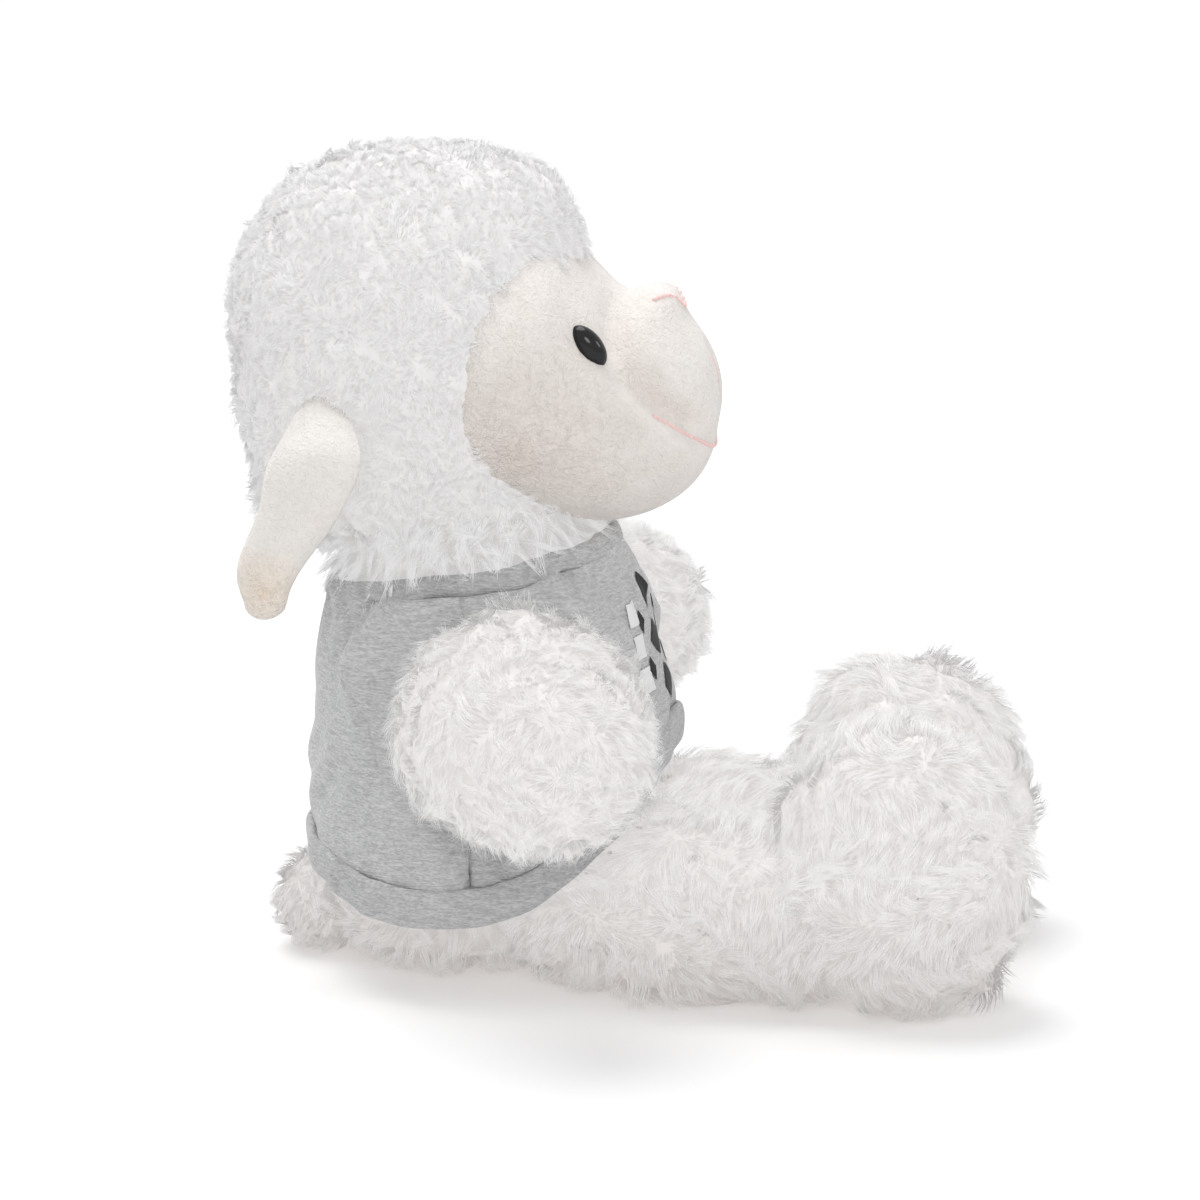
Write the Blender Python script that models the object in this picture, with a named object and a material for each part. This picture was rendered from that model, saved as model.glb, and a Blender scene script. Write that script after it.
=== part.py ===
"""Seated plush sheep in a sleeveless tee: sewn skins over soft fillings, on sewn joints.

Metres, +Z up. The sheep faces +X, its left side is +Y, and it sits on Z = 0.
"""

import math

import bmesh
import bpy
from mathutils import Matrix, Vector
from mathutils.bvhtree import BVHTree

# Cloth, clearances and counts
FUR_BACKING = 0.0012
MINKY_CLOTH = 0.0012
JERSEY_CLOTH = 0.0012
FIT_GAP = 0.0003
FILLING_GAP = 0.0005
SOCKET_GAP = 0.0007
FLOOR_CUT = 0.0005
OVERRUN = 0.02
BODY_SIDES = 18
HEAD_SIDES = 20
LIMB_SIDES = 14
FORM_ROWS = 11
BALL_ROWS = 8

# Body
BODY_HEIGHT = 0.102
BODY_DEPTH = 0.080
BODY_WIDTH = 0.076
BODY_MIDDLE_X = -0.03596
BODY_DEPTH_SHARES = (0.95, 0.92, 0.82, 1.03, 1.03, 1.19, 1.60)
BODY_WIDTH_SHARES = (0.98, 0.98, 1.00, 1.00, 1.02, 1.20, 1.75)
BODY_LEAN_SHARES = (-0.07, -0.07, -0.075, 0.035, 0.025, 0.005, -0.02)
SEAT_POUCH_RADIUS = 0.0170
SEAT_POUCH_HEIGHT = 0.0140
SEAT_POUCH_LIFT = 0.004

# Neck
NECK_RADIUS = 0.0275
NECK_MIDDLE_X = -0.03796
NECK_MIDDLE_Z = 0.0995
NECK_TILT = math.radians(12)
NECK_MOUTH_RADIUS = 0.012

# Head under its wool
HEAD_HEIGHT = 0.0950
HEAD_DEPTH = 0.088
HEAD_WIDTH = 0.092
HEAD_MIDDLE_X = -0.04946
HEAD_MIDDLE_Z = 0.1483
HEAD_DEPTH_SHARES = (1.90, 1.17, 1.01, 1.00, 1.03, 1.11, 1.40)
HEAD_WIDTH_SHARES = (1.30, 1.06, 1.00, 1.02, 1.02, 1.00, 0.98)
HEAD_LEAN_SHARES = (0.00, -0.01, -0.01, 0.00, -0.015, 0.00, 0.03)

# Face, from its seam under the wool to the tip of the muzzle
FACE_LENGTH = 0.082
FACE_WIDTH = 0.084
FACE_HEIGHT = 0.066
FACE_FRONT_X = 0.02154
FACE_MIDDLE_Z = 0.1405
FACE_WIDTH_SHARES = (0.95, 1.00, 1.06, 0.98, 0.84, 0.75, 0.85)
FACE_HEIGHT_SHARES = (0.90, 0.94, 0.97, 0.97, 0.93, 1.02, 1.10)
FACE_LIFT_SHARES = (0.00, 0.02, 0.03, 0.02, -0.06, -0.07, -0.07)

# Eyes, each with its stem and its washer behind the cloth
EYE_X = -0.00646
EYE_Z = 0.1530
EYE_LENGTH = 0.0108
EYE_WIDTH = 0.0084
EYE_DOME = 0.0038
EYE_TURN = math.radians(-22)
EYE_STEM_RADIUS = 0.0016
EYE_STEM_LENGTH = 0.0075
EYE_STEM_GAP = 0.0004
EYE_WASHER_RADIUS = 0.0050
EYE_WASHER_THICKNESS = 0.0012
EYE_WASHER_SET_BACK = 0.0014

# Stitched nose, lip line and mouth
STITCH_RADIUS = 0.0005
NOSE_WIDTH = 0.0160
NOSE_X = 0.01154
NOSE_DIP = 0.0035
LIP_TOP_Z = 0.1460
LIP_BOTTOM_Z = 0.1330
MOUTH_Z = 0.1270
MOUTH_RISE = 0.0085
MOUTH_HALF_WIDTH = 0.0170

# Ears
EAR_ROOT_X = -0.06296
EAR_ROOT_Z = 0.1390
EAR_LENGTH = 0.0445
EAR_WIDTH = 0.0240
EAR_SWEEP_BACK = 0.0185
EAR_BOW = 0.0050
EAR_CUP = 0.0020
EAR_LINING_MARGIN = 0.0015
EAR_ROOT_GAP = 0.00095
EAR_COLUMNS = 4
EAR_WIDTH_SHARES = (0.40, 0.62, 0.90, 1.00, 0.96, 0.86, 0.74, 0.62, 0.34)
EAR_FORWARD_SHARES = (0.00, 0.10, 0.22, 0.20, 0.06, -0.18, -0.46, -0.76, -1.00)
EAR_BOW_SHARES = (0.02, 0.45, 0.80, 1.00, 1.00, 0.90, 0.70, 0.45, 0.30)

# Arms
SHOULDER_X = -0.02596
SHOULDER_Y = 0.0420
SHOULDER_Z = 0.0730
ARM_ROOT_RADIUS = 0.0155
ARM_LENGTH = 0.0520
ARM_FORWARD = math.radians(25)
ARM_DROOP = math.radians(10)
ARM_SWELL_SHARES = (1.00, 1.12, 1.26, 1.36, 1.34, 1.26)
ROOT_MOUTH_RADIUS = 0.0080

# Legs and feet
HIP_X = -0.00796
HIP_Y = 0.0212
HIP_Z = 0.0214
LEG_RADIUS = 0.0195
LEG_LENGTH = 0.0660
LEG_SPREAD = math.radians(7.5)
LEG_DROP = math.radians(0.8)
LEG_SWELL_SHARES = (1.00, 1.05, 1.10, 1.10, 1.06, 1.04)
FOOT_X = 0.06704
FOOT_Y = 0.0330
FOOT_LENGTH = 0.0540
FOOT_WIDTH = 0.0460
FOOT_HEIGHT = 0.0680
FOOT_DEPTH_SHARES = (0.96, 1.02, 1.04, 1.02, 1.00, 1.00, 1.00)
FOOT_LEAN_SHARES = (0.04, 0.04, 0.02, 0.00, 0.00, -0.02, -0.02)

# Tail
TAIL_X = -0.07096
TAIL_Z = 0.0125
TAIL_ROOT_RADIUS = 0.0112
TAIL_LENGTH = 0.0140
TAIL_SWELL_SHARES = (1.00, 1.04, 1.06, 1.04, 1.02, 1.00)

# Tee
TEE_HEIGHT = 0.0785
TEE_TOP_Z = 0.1000
TEE_DEPTH = 0.0845
TEE_WIDTH = 0.0900
TEE_MIDDLE_X = -0.03226
TEE_SQUARENESS = 2.4
TEE_DEPTH_SHARES = (0.98, 1.00, 1.00, 0.99, 0.935, 0.855, 0.745)
TEE_WIDTH_SHARES = (1.02, 1.00, 0.945, 0.88, 0.81, 0.745, 0.65)
TEE_LEAN_SHARES = (0.00, 0.00, 0.00, 0.00, -0.018, -0.02, -0.047)
COLLAR_RISE = 0.0060
HEM_SIDE_Z = 0.0200
HEM_FRONT_Z = 0.0495
HEM_BACK_Z = 0.0265
HEM_RISE_POWER = 1.1
HEM_BAND = 0.0090
HEM_THICKNESS = 0.0020
HEM_SEAM_GAP = 0.0009
NECK_BAND = 0.0040
NECK_BAND_THICKNESS = 0.0018
ARMHOLE_RADIUS = 0.0190
ARMHOLE_BINDING_RADIUS = 0.0014
PRINT_WIDTH = 0.0480
PRINT_LOW_Z = 0.0600
PRINT_HIGH_Z = 0.0880
PRINT_THICKNESS = 0.0004
TEE_ROWS = 4
TEE_COLUMNS = 11

SIDES = {"right": -1, "left": 1}


def clear_scene():
    """Start from an empty scene."""
    for old in list(bpy.data.objects):
        bpy.data.objects.remove(old, do_unlink=True)


def material(name, colour, roughness, metallic=0.0):
    """A plain finish in the colour that the piece has."""
    made = bpy.data.materials.new(name)
    made.use_nodes = True
    shader = made.node_tree.nodes["Principled BSDF"]
    shader.inputs["Base Color"].default_value = (*colour, 1.0)
    shader.inputs["Roughness"].default_value = roughness
    shader.inputs["Metallic"].default_value = metallic
    return made


FINISHES = {
    "wool": ((0.80, 0.79, 0.78), 0.95),
    "minky": ((0.76, 0.71, 0.67), 0.90),
    "ear_cloth": ((0.80, 0.75, 0.69), 0.90),
    "jersey": ((0.50, 0.50, 0.50), 0.92),
    "rib": ((0.44, 0.44, 0.44), 0.92),
    "stuffing": ((0.90, 0.89, 0.86), 1.00),
    "pouch": ((0.60, 0.58, 0.52), 0.90),
    "eye": ((0.01, 0.01, 0.01), 0.08),
    "washer": ((0.75, 0.75, 0.73), 0.50),
    "thread": ((0.85, 0.42, 0.40), 0.80),
    "print": ((0.85, 0.85, 0.85), 0.60),
}


def add_object(name, mesh, finish, smooth=True):
    """One piece of the toy, with its own finish."""
    piece = bpy.data.objects.new(name, mesh)
    bpy.context.scene.collection.objects.link(piece)
    colour, roughness = FINISHES[finish]
    mesh.materials.append(material(name, colour, roughness))
    if smooth:
        mesh.shade_smooth()
        mesh.set_sharp_from_angle(angle=math.radians(50))
    return piece


def add_cutter(name, mesh):
    """A helper shape that is only taken away from others."""
    helper = bpy.data.objects.new(name, mesh)
    bpy.context.scene.collection.objects.link(helper)
    helper.hide_render = True
    helper.display_type = "WIRE"
    return helper


def combine(piece, other, operation="DIFFERENCE"):
    """Cut another shape from a piece, or join it on."""
    boolean = piece.modifiers.new(other.name, "BOOLEAN")
    boolean.operation = operation
    boolean.solver = "EXACT"
    boolean.object = other


def to_mesh(name, bm):
    """Close a bmesh into a mesh whose faces point out."""
    bmesh.ops.recalc_face_normals(bm, faces=bm.faces)
    mesh = bpy.data.meshes.new(name)
    bm.to_mesh(mesh)
    bm.free()
    return mesh


def blend_shares(shares, place):
    """Read a table of shares at a place from 0 to 1, on a smooth curve through its values."""
    last = len(shares) - 1
    at = min(max(place, 0.0), 1.0) * last
    low = min(int(at), last - 1)
    part = at - low
    before, start = shares[max(low - 1, 0)], shares[low]
    end, after = shares[low + 1], shares[min(low + 2, last)]
    rise_in, rise_out = (end - before) / 2, (after - start) / 2
    cube, square = part ** 3, part ** 2
    return (
        start * (2 * cube - 3 * square + 1)
        + rise_in * (cube - 2 * square + part)
        + end * (3 * square - 2 * cube)
        + rise_out * (cube - square)
    )


def standing_form(name, middle, size, tables, inset, sides=BODY_SIDES, rows=FORM_ROWS):
    """A stuffed form on an upright axis: a ball that swells, tapers and leans by its tables."""
    depth_shares, width_shares, lean_shares = tables
    depth, width, height = size
    bm = bmesh.new()
    bmesh.ops.create_uvsphere(bm, u_segments=sides, v_segments=rows, radius=1)
    for vert in bm.verts:
        place = (vert.co.z + 1) / 2
        x = vert.co.x * (depth / 2 * blend_shares(depth_shares, place) - inset)
        y = vert.co.y * (width / 2 * blend_shares(width_shares, place) - inset)
        z = vert.co.z * (height / 2 - inset)
        lean = depth * blend_shares(lean_shares, place)
        vert.co = Vector((middle.x + x + lean, middle.y + y, middle.z + z))
    return to_mesh(name, bm)


def body_form(name, inset):
    middle = Vector((BODY_MIDDLE_X, 0, BODY_HEIGHT / 2 - FLOOR_CUT))
    size = (BODY_DEPTH, BODY_WIDTH, BODY_HEIGHT)
    tables = (BODY_DEPTH_SHARES, BODY_WIDTH_SHARES, BODY_LEAN_SHARES)
    return standing_form(name, middle, size, tables, inset)


def head_form(name, inset):
    middle = Vector((HEAD_MIDDLE_X, 0, HEAD_MIDDLE_Z))
    size = (HEAD_DEPTH, HEAD_WIDTH, HEAD_HEIGHT)
    tables = (HEAD_DEPTH_SHARES, HEAD_WIDTH_SHARES, HEAD_LEAN_SHARES)
    return standing_form(name, middle, size, tables, inset, HEAD_SIDES)


def foot_form(name, side, inset):
    middle = Vector((FOOT_X, side * FOOT_Y, FOOT_HEIGHT / 2 - FLOOR_CUT))
    size = (FOOT_LENGTH, FOOT_WIDTH, FOOT_HEIGHT)
    tables = (FOOT_DEPTH_SHARES, FOOT_DEPTH_SHARES, FOOT_LEAN_SHARES)
    return standing_form(name, middle, size, tables, inset, LIMB_SIDES, BALL_ROWS)


def face_form(name, inset):
    """The face: a ball along X, full at the cheeks and narrow at the muzzle."""
    bm = bmesh.new()
    half_side = Matrix.Rotation(math.pi / HEAD_SIDES, 4, "Z")
    bmesh.ops.create_uvsphere(
        bm, u_segments=HEAD_SIDES, v_segments=FORM_ROWS, radius=1, matrix=half_side
    )
    middle_x = FACE_FRONT_X - FACE_LENGTH / 2
    for vert in bm.verts:
        place = (vert.co.z + 1) / 2
        x = middle_x + vert.co.z * (FACE_LENGTH / 2 - inset)
        y = vert.co.y * (FACE_WIDTH / 2 * blend_shares(FACE_WIDTH_SHARES, place) - inset)
        up = vert.co.x * (FACE_HEIGHT / 2 * blend_shares(FACE_HEIGHT_SHARES, place) - inset)
        lift = FACE_HEIGHT * blend_shares(FACE_LIFT_SHARES, place)
        vert.co = Vector((x, y, FACE_MIDDLE_Z + up + lift))
    return to_mesh(name, bm)


def limb_profile(root_radius, length, shares, inset):
    """Points (radius, distance) from the root pole of a limb, round its joint ball, to its tip."""
    radius = root_radius - inset
    points = []
    steps = BALL_ROWS // 2
    for step in range(steps):
        turn = math.pi / 2 * step / steps
        points.append((radius * math.sin(turn), -radius * math.cos(turn)))
    tip_radius = root_radius * shares[-1] - inset
    barrel = length - tip_radius - inset
    for step in range(len(shares)):
        place = step / (len(shares) - 1)
        points.append((root_radius * shares[step] - inset, barrel * place))
    for step in range(1, steps + 1):
        turn = math.pi / 2 * step / steps
        points.append((tip_radius * math.cos(turn), barrel + tip_radius * math.sin(turn)))
    points[-1] = (0, points[-1][1])
    return points


def spin_profile(name, profile, placing, sides=LIMB_SIDES, whole=False):
    """Turn a profile of (radius, distance) once round the limb's axis, and put it in its place."""
    bm = bmesh.new()
    verts = [bm.verts.new((radius, 0, along)) for radius, along in profile]
    edges = [bm.edges.new(pair) for pair in zip(verts, verts[1:])]
    if whole:
        edges.append(bm.edges.new((verts[-1], verts[0])))
    bmesh.ops.spin(
        bm, geom=verts + edges, cent=(0, 0, 0), axis=(0, 0, 1), angle=math.tau,
        steps=sides, use_merge=True,
    )
    bmesh.ops.remove_doubles(bm, verts=bm.verts, dist=FIT_GAP / 100)
    bmesh.ops.dissolve_degenerate(bm, edges=bm.edges, dist=FIT_GAP / 100)
    bmesh.ops.transform(bm, matrix=placing, verts=bm.verts)
    return to_mesh(name, bm)


def aim(place, direction):
    """A placing that turns +Z to a direction and moves the origin to a place."""
    return Matrix.Translation(place) @ direction.to_track_quat("Z", "Y").to_matrix().to_4x4()


def open_bag(root_radius, length, shares, wall):
    """The closed profile of a sewn bag: outside from its mouth to the tip, and back inside."""
    outer = limb_profile(root_radius, length, shares, 0)
    inner = limb_profile(root_radius, length, shares, wall)
    outside = [point for point in outer if point[0] > ROOT_MOUTH_RADIUS or point[1] > 0]
    inside = [point for point in inner if point[0] > ROOT_MOUTH_RADIUS or point[1] > 0]
    return outside[::-1] + inside


def add_bag(name, finish, place, direction, root_radius, length, shares):
    """A limb's skin, open at its root, and the filling that it holds."""
    placing = aim(place, direction)
    skin_profile = open_bag(root_radius, length, shares, FUR_BACKING)
    skin = add_object(f"{name}_skin", spin_profile(name, skin_profile, placing), finish)
    filled = limb_profile(root_radius, length, shares, FUR_BACKING + FILLING_GAP)
    filling = add_object(f"{name}_filling", spin_profile(name, filled, placing), "stuffing")
    return skin, filling


def add_ball_cutter(name, place, radius):
    """A ball taken away where a joint's round root sits."""
    half_side = Matrix.Rotation(math.pi / BODY_SIDES, 4, "Z")
    bm = bmesh.new()
    bmesh.ops.create_uvsphere(
        bm, u_segments=BODY_SIDES, v_segments=FORM_ROWS, radius=radius,
        matrix=Matrix.Translation(place) @ half_side,
    )
    return add_cutter(name, to_mesh(name, bm))


def add_rod_cutter(name, start, end, radius):
    """A round rod taken away between two points."""
    along = end - start
    bm = bmesh.new()
    bmesh.ops.create_cone(
        bm, cap_ends=True, segments=LIMB_SIDES, radius1=radius, radius2=radius,
        depth=along.length, matrix=aim((start + end) / 2, along.normalized()),
    )
    return add_cutter(name, to_mesh(name, bm))


def add_floor_cutter():
    """All that lies under the floor."""
    reach = BODY_HEIGHT + FOOT_X + LEG_LENGTH
    bm = bmesh.new()
    bmesh.ops.create_cube(bm, size=1)
    bmesh.ops.scale(bm, verts=bm.verts, vec=(2 * reach, 2 * reach, OVERRUN))
    bmesh.ops.translate(bm, verts=bm.verts, vec=(0, 0, -OVERRUN / 2))
    return add_cutter("floor_cutter", to_mesh("floor_cutter", bm))


NECK_PLACE = Vector((NECK_MIDDLE_X, 0, NECK_MIDDLE_Z))
NECK_AXIS = Vector((-math.sin(NECK_TILT), 0, math.cos(NECK_TILT)))


def shoulder_place(side):
    return Vector((SHOULDER_X, side * SHOULDER_Y, SHOULDER_Z))


def arm_direction(side):
    level = math.cos(ARM_DROOP)
    return Vector(
        (level * math.sin(ARM_FORWARD), side * level * math.cos(ARM_FORWARD), -math.sin(ARM_DROOP))
    )


def hip_place(side):
    return Vector((HIP_X, side * HIP_Y, HIP_Z))


def leg_direction(side):
    level = math.cos(LEG_DROP)
    return Vector(
        (level * math.cos(LEG_SPREAD), side * level * math.sin(LEG_SPREAD), -math.sin(LEG_DROP))
    )


TAIL_PLACE = Vector((TAIL_X, 0, TAIL_Z))


def root_cutters():
    """The sockets of arms, legs, tail and neck in the body."""
    cutters = []
    for name, side in SIDES.items():
        cutters.append(
            add_ball_cutter(
                f"shoulder_socket_{name}", shoulder_place(side), ARM_ROOT_RADIUS + SOCKET_GAP
            )
        )
        cutters.append(
            add_ball_cutter(f"hip_socket_{name}", hip_place(side), LEG_RADIUS + SOCKET_GAP)
        )
    cutters.append(add_ball_cutter("tail_socket", TAIL_PLACE, TAIL_ROOT_RADIUS + SOCKET_GAP))
    cutters.append(add_ball_cutter("neck_socket", NECK_PLACE, NECK_RADIUS + SOCKET_GAP))
    return cutters


def add_body(floor):
    """The body's fur skin, open at the neck, with its filling and the weighted seat pouch."""
    skin = add_object("body_skin", body_form("body_skin", 0), "wool")
    combine(skin, add_cutter("body_hollow", body_form("body_hollow", FUR_BACKING)))
    filling = add_object(
        "body_filling", body_form("body_filling", FUR_BACKING + FILLING_GAP), "stuffing"
    )
    sockets = root_cutters()
    for socket in sockets:
        combine(skin, socket)
        combine(filling, socket)
    combine(skin, floor)

    pouch_low = FUR_BACKING + 2 * FIT_GAP + SEAT_POUCH_LIFT
    pouch_x = BODY_MIDDLE_X + BODY_DEPTH * BODY_LEAN_SHARES[0]
    start = Vector((pouch_x, 0, -OVERRUN))
    end = Vector((pouch_x, 0, pouch_low + SEAT_POUCH_HEIGHT + FIT_GAP))
    combine(filling, add_rod_cutter("pouch_pocket", start, end, SEAT_POUCH_RADIUS + FIT_GAP))
    bm = bmesh.new()
    bmesh.ops.create_uvsphere(bm, u_segments=LIMB_SIDES, v_segments=BALL_ROWS, radius=1)
    radius, half = SEAT_POUCH_RADIUS, SEAT_POUCH_HEIGHT / 2
    bmesh.ops.scale(bm, verts=bm.verts, vec=(radius, radius, half))
    bmesh.ops.translate(bm, verts=bm.verts, vec=(pouch_x, 0, pouch_low + half))
    add_object("seat_pouch", to_mesh("seat_pouch", bm), "pouch")


def add_neck():
    """The short stuffed neck that the head turns and nods on."""
    placing = aim(NECK_PLACE, NECK_AXIS)

    def arc(radius, mouth):
        edge = math.asin(mouth / radius)
        steps = BALL_ROWS
        span = math.pi - 2 * edge
        turns = [edge + span * step / steps for step in range(steps + 1)]
        return [(radius * math.sin(turn), -radius * math.cos(turn)) for turn in turns]

    inner_radius = NECK_RADIUS - FUR_BACKING
    outside = arc(NECK_RADIUS, NECK_MOUTH_RADIUS)
    inside = arc(inner_radius, NECK_MOUTH_RADIUS)
    skin = spin_profile("neck_skin", outside + inside[::-1], placing, BODY_SIDES, True)
    add_object("neck_skin", skin, "wool")
    bm = bmesh.new()
    bmesh.ops.create_uvsphere(
        bm, u_segments=BODY_SIDES, v_segments=BALL_ROWS, radius=inner_radius - SOCKET_GAP,
        matrix=placing,
    )
    add_object("neck_filling", to_mesh("neck_filling", bm), "stuffing")


def surface_tree(mesh):
    bm = bmesh.new()
    bm.from_mesh(mesh)
    tree = BVHTree.FromBMesh(bm)
    bm.free()
    return tree


def face_point(tree, origin, direction):
    """Where a line from outside meets the face, and the way that the face looks there."""
    place, normal, _, _ = tree.ray_cast(origin, direction)
    return place, normal


def side_point(tree, x, z, side):
    """A point on the side of the face, at a given X and Z."""
    return face_point(tree, Vector((x, side * FACE_WIDTH, z)), Vector((0, -side, 0)))


def front_point(tree, y, z):
    """A point on the front of the face, at a given Y and Z."""
    reach = FACE_FRONT_X + FACE_LENGTH
    return face_point(tree, Vector((reach, y, z)), Vector((-1, 0, 0)))


def top_point(tree, x, y):
    """A point on the top of the face, at a given X and Y."""
    reach = FACE_MIDDLE_Z + FACE_HEIGHT
    return face_point(tree, Vector((x, y, reach)), Vector((0, 0, -1)))


def add_head():
    """The wool cap, the short-pile face and the filling that both hold."""
    wool = add_object("head_wool_skin", head_form("head_wool_skin", 0), "wool")
    face = add_object("face_skin", face_form("face_skin", 0), "minky")
    hollow = add_cutter("head_hollow", head_form("head_hollow", FUR_BACKING))
    neck = add_ball_cutter("head_neck_socket", NECK_PLACE, NECK_RADIUS + SOCKET_GAP)
    combine(wool, hollow)
    combine(wool, neck)
    combine(wool, add_cutter("face_clearance", face_form("face_clearance", -FIT_GAP)))
    combine(face, add_cutter("face_hollow", face_form("face_hollow", MINKY_CLOTH)))
    combine(face, hollow)
    inner = FUR_BACKING + FILLING_GAP
    filling = add_object("head_filling", head_form("head_filling", inner), "stuffing")
    combine(filling, add_cutter("face_filling", face_form("face_filling", inner)), "UNION")

    for piece in (face, filling):
        combine(piece, neck)
    return face, filling


def add_eyes(tree, face, filling):
    """Two glossy safety eyes, each held by a washer behind the cloth."""
    for name, side in SIDES.items():
        place, normal = side_point(tree, EYE_X, EYE_Z, side)
        turn = Matrix.Rotation(side * EYE_TURN, 4, "Z")
        placing = aim(place + normal * FIT_GAP, normal) @ turn
        size = Matrix.Diagonal((EYE_WIDTH / 2, EYE_LENGTH / 2, EYE_DOME, 1))
        steps = BALL_ROWS // 2
        rises = [math.pi / 2 * step / steps for step in range(steps)]
        dome = [(0, 0)] + [(math.cos(rise), math.sin(rise)) for rise in rises] + [(0, 1)]
        dome_mesh = spin_profile(f"eye_{name}", dome, placing @ size)
        eye = add_object(f"eye_{name}", dome_mesh, "eye")
        stem_start = place + normal * (EYE_DOME / 2)
        stem_end = place - normal * EYE_STEM_LENGTH
        stem = add_rod_cutter(f"eye_stem_{name}", stem_start, stem_end, EYE_STEM_RADIUS)
        combine(eye, stem, "UNION")
        hole_end = stem_end - normal * EYE_STEM_GAP
        hole_start = place + normal * OVERRUN
        hole_radius = EYE_STEM_RADIUS + EYE_STEM_GAP
        combine(face, add_rod_cutter(f"eye_hole_{name}", hole_start, hole_end, hole_radius))

        back = place - normal * (MINKY_CLOTH + EYE_WASHER_SET_BACK)
        low = back - normal * EYE_WASHER_THICKNESS
        disc = [
            (hole_radius, 0), (EYE_WASHER_RADIUS, 0),
            (EYE_WASHER_RADIUS, EYE_WASHER_THICKNESS), (hole_radius, EYE_WASHER_THICKNESS),
        ]
        washer = spin_profile(f"eye_washer_{name}", disc, aim(low, normal), LIMB_SIDES, True)
        add_object(f"eye_washer_{name}", washer, "washer")
        pocket = EYE_WASHER_RADIUS + FIT_GAP
        pocket_end = stem_end - normal * FIT_GAP
        combine(filling, add_rod_cutter(f"eye_pocket_{name}", hole_start, pocket_end, pocket))


def add_stitch(name, points):
    """A line of embroidery thread along points on the face."""
    curve = bpy.data.curves.new(name, "CURVE")
    curve.dimensions = "3D"
    curve.bevel_depth = STITCH_RADIUS
    curve.bevel_resolution = 1
    curve.use_fill_caps = True
    line = curve.splines.new("POLY")
    line.points.add(len(points) - 1)
    for knot, point in zip(line.points, points):
        knot.co = (*point, 1)
    thread = bpy.data.objects.new(name, curve)
    bpy.context.scene.collection.objects.link(thread)
    colour, roughness = FINISHES["thread"]
    curve.materials.append(material(name, colour, roughness))


def raised(found):
    place, normal = found
    return place + normal * (STITCH_RADIUS + FIT_GAP)


def add_stitches(tree):
    """The nose edge, the line down the lip and the mouth, in pink thread."""
    steps = 12
    nose = []
    for step in range(steps + 1):
        across = 2 * step / steps - 1
        x = NOSE_X - NOSE_DIP * across ** 2
        nose.append(raised(top_point(tree, x, NOSE_WIDTH / 2 * across)))
    add_stitch("nose_stitch", nose)
    lip = []
    for step in range(steps // 2 + 1):
        z = LIP_TOP_Z + (LIP_BOTTOM_Z - LIP_TOP_Z) * 2 * step / steps
        lip.append(raised(front_point(tree, 0, z)))
    add_stitch("lip_stitch", lip)
    mouth = []
    for step in range(steps + 1):
        across = 2 * step / steps - 1
        z = MOUTH_Z + MOUTH_RISE * across ** 2
        mouth.append(raised(front_point(tree, MOUTH_HALF_WIDTH * across, z)))
    add_stitch("mouth_stitch", mouth)


def ear_sheet(name, side, root, depth_in, depth_out, margin):
    """One cloth layer of an ear: a leaf that bows out from the head and cups across."""
    bm = bmesh.new()
    rows = len(EAR_WIDTH_SHARES) - 1
    bmesh.ops.create_grid(bm, x_segments=EAR_COLUMNS, y_segments=rows, size=1)
    for vert in bm.verts:
        across, place = vert.co.x, (1 - vert.co.y) / 2
        half = EAR_WIDTH / 2 * blend_shares(EAR_WIDTH_SHARES, place) - margin
        x = root.x + EAR_SWEEP_BACK * blend_shares(EAR_FORWARD_SHARES, place) + across * half
        bow = EAR_BOW * blend_shares(EAR_BOW_SHARES, place) + EAR_CUP * (1 - across ** 2)
        end = math.sqrt(max(0.0, 1 - across ** 2))
        z = root.z - (EAR_LENGTH - margin) * place - EAR_CUP * end * place ** 4
        vert.co = Vector((x, root.y + side * (bow + depth_in), z))
    closed = bmesh.ops.extrude_face_region(bm, geom=bm.faces[:])
    moved = [item for item in closed["geom"] if isinstance(item, bmesh.types.BMVert)]
    bmesh.ops.translate(bm, verts=moved, vec=(0, side * (depth_out - depth_in), 0))
    return to_mesh(name, bm)


def add_ears(head_tree):
    """Each ear has an outer layer and a lining, sewn round the edge and turned out."""
    for name, side in SIDES.items():
        aim_from = Vector((EAR_ROOT_X, side * HEAD_WIDTH, EAR_ROOT_Z))
        place, _, _, _ = head_tree.ray_cast(aim_from, Vector((0, -side, 0)))
        root = Vector((EAR_ROOT_X, place.y + side * EAR_ROOT_GAP, EAR_ROOT_Z))
        lining = ear_sheet(f"ear_lining_{name}", side, root, 0, MINKY_CLOTH, EAR_LINING_MARGIN)
        add_object(f"ear_lining_{name}", lining, "ear_cloth")
        near = MINKY_CLOTH + FIT_GAP
        outer = ear_sheet(f"ear_outer_{name}", side, root, near, near + MINKY_CLOTH, 0)
        add_object(f"ear_outer_{name}", outer, "ear_cloth")


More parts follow.
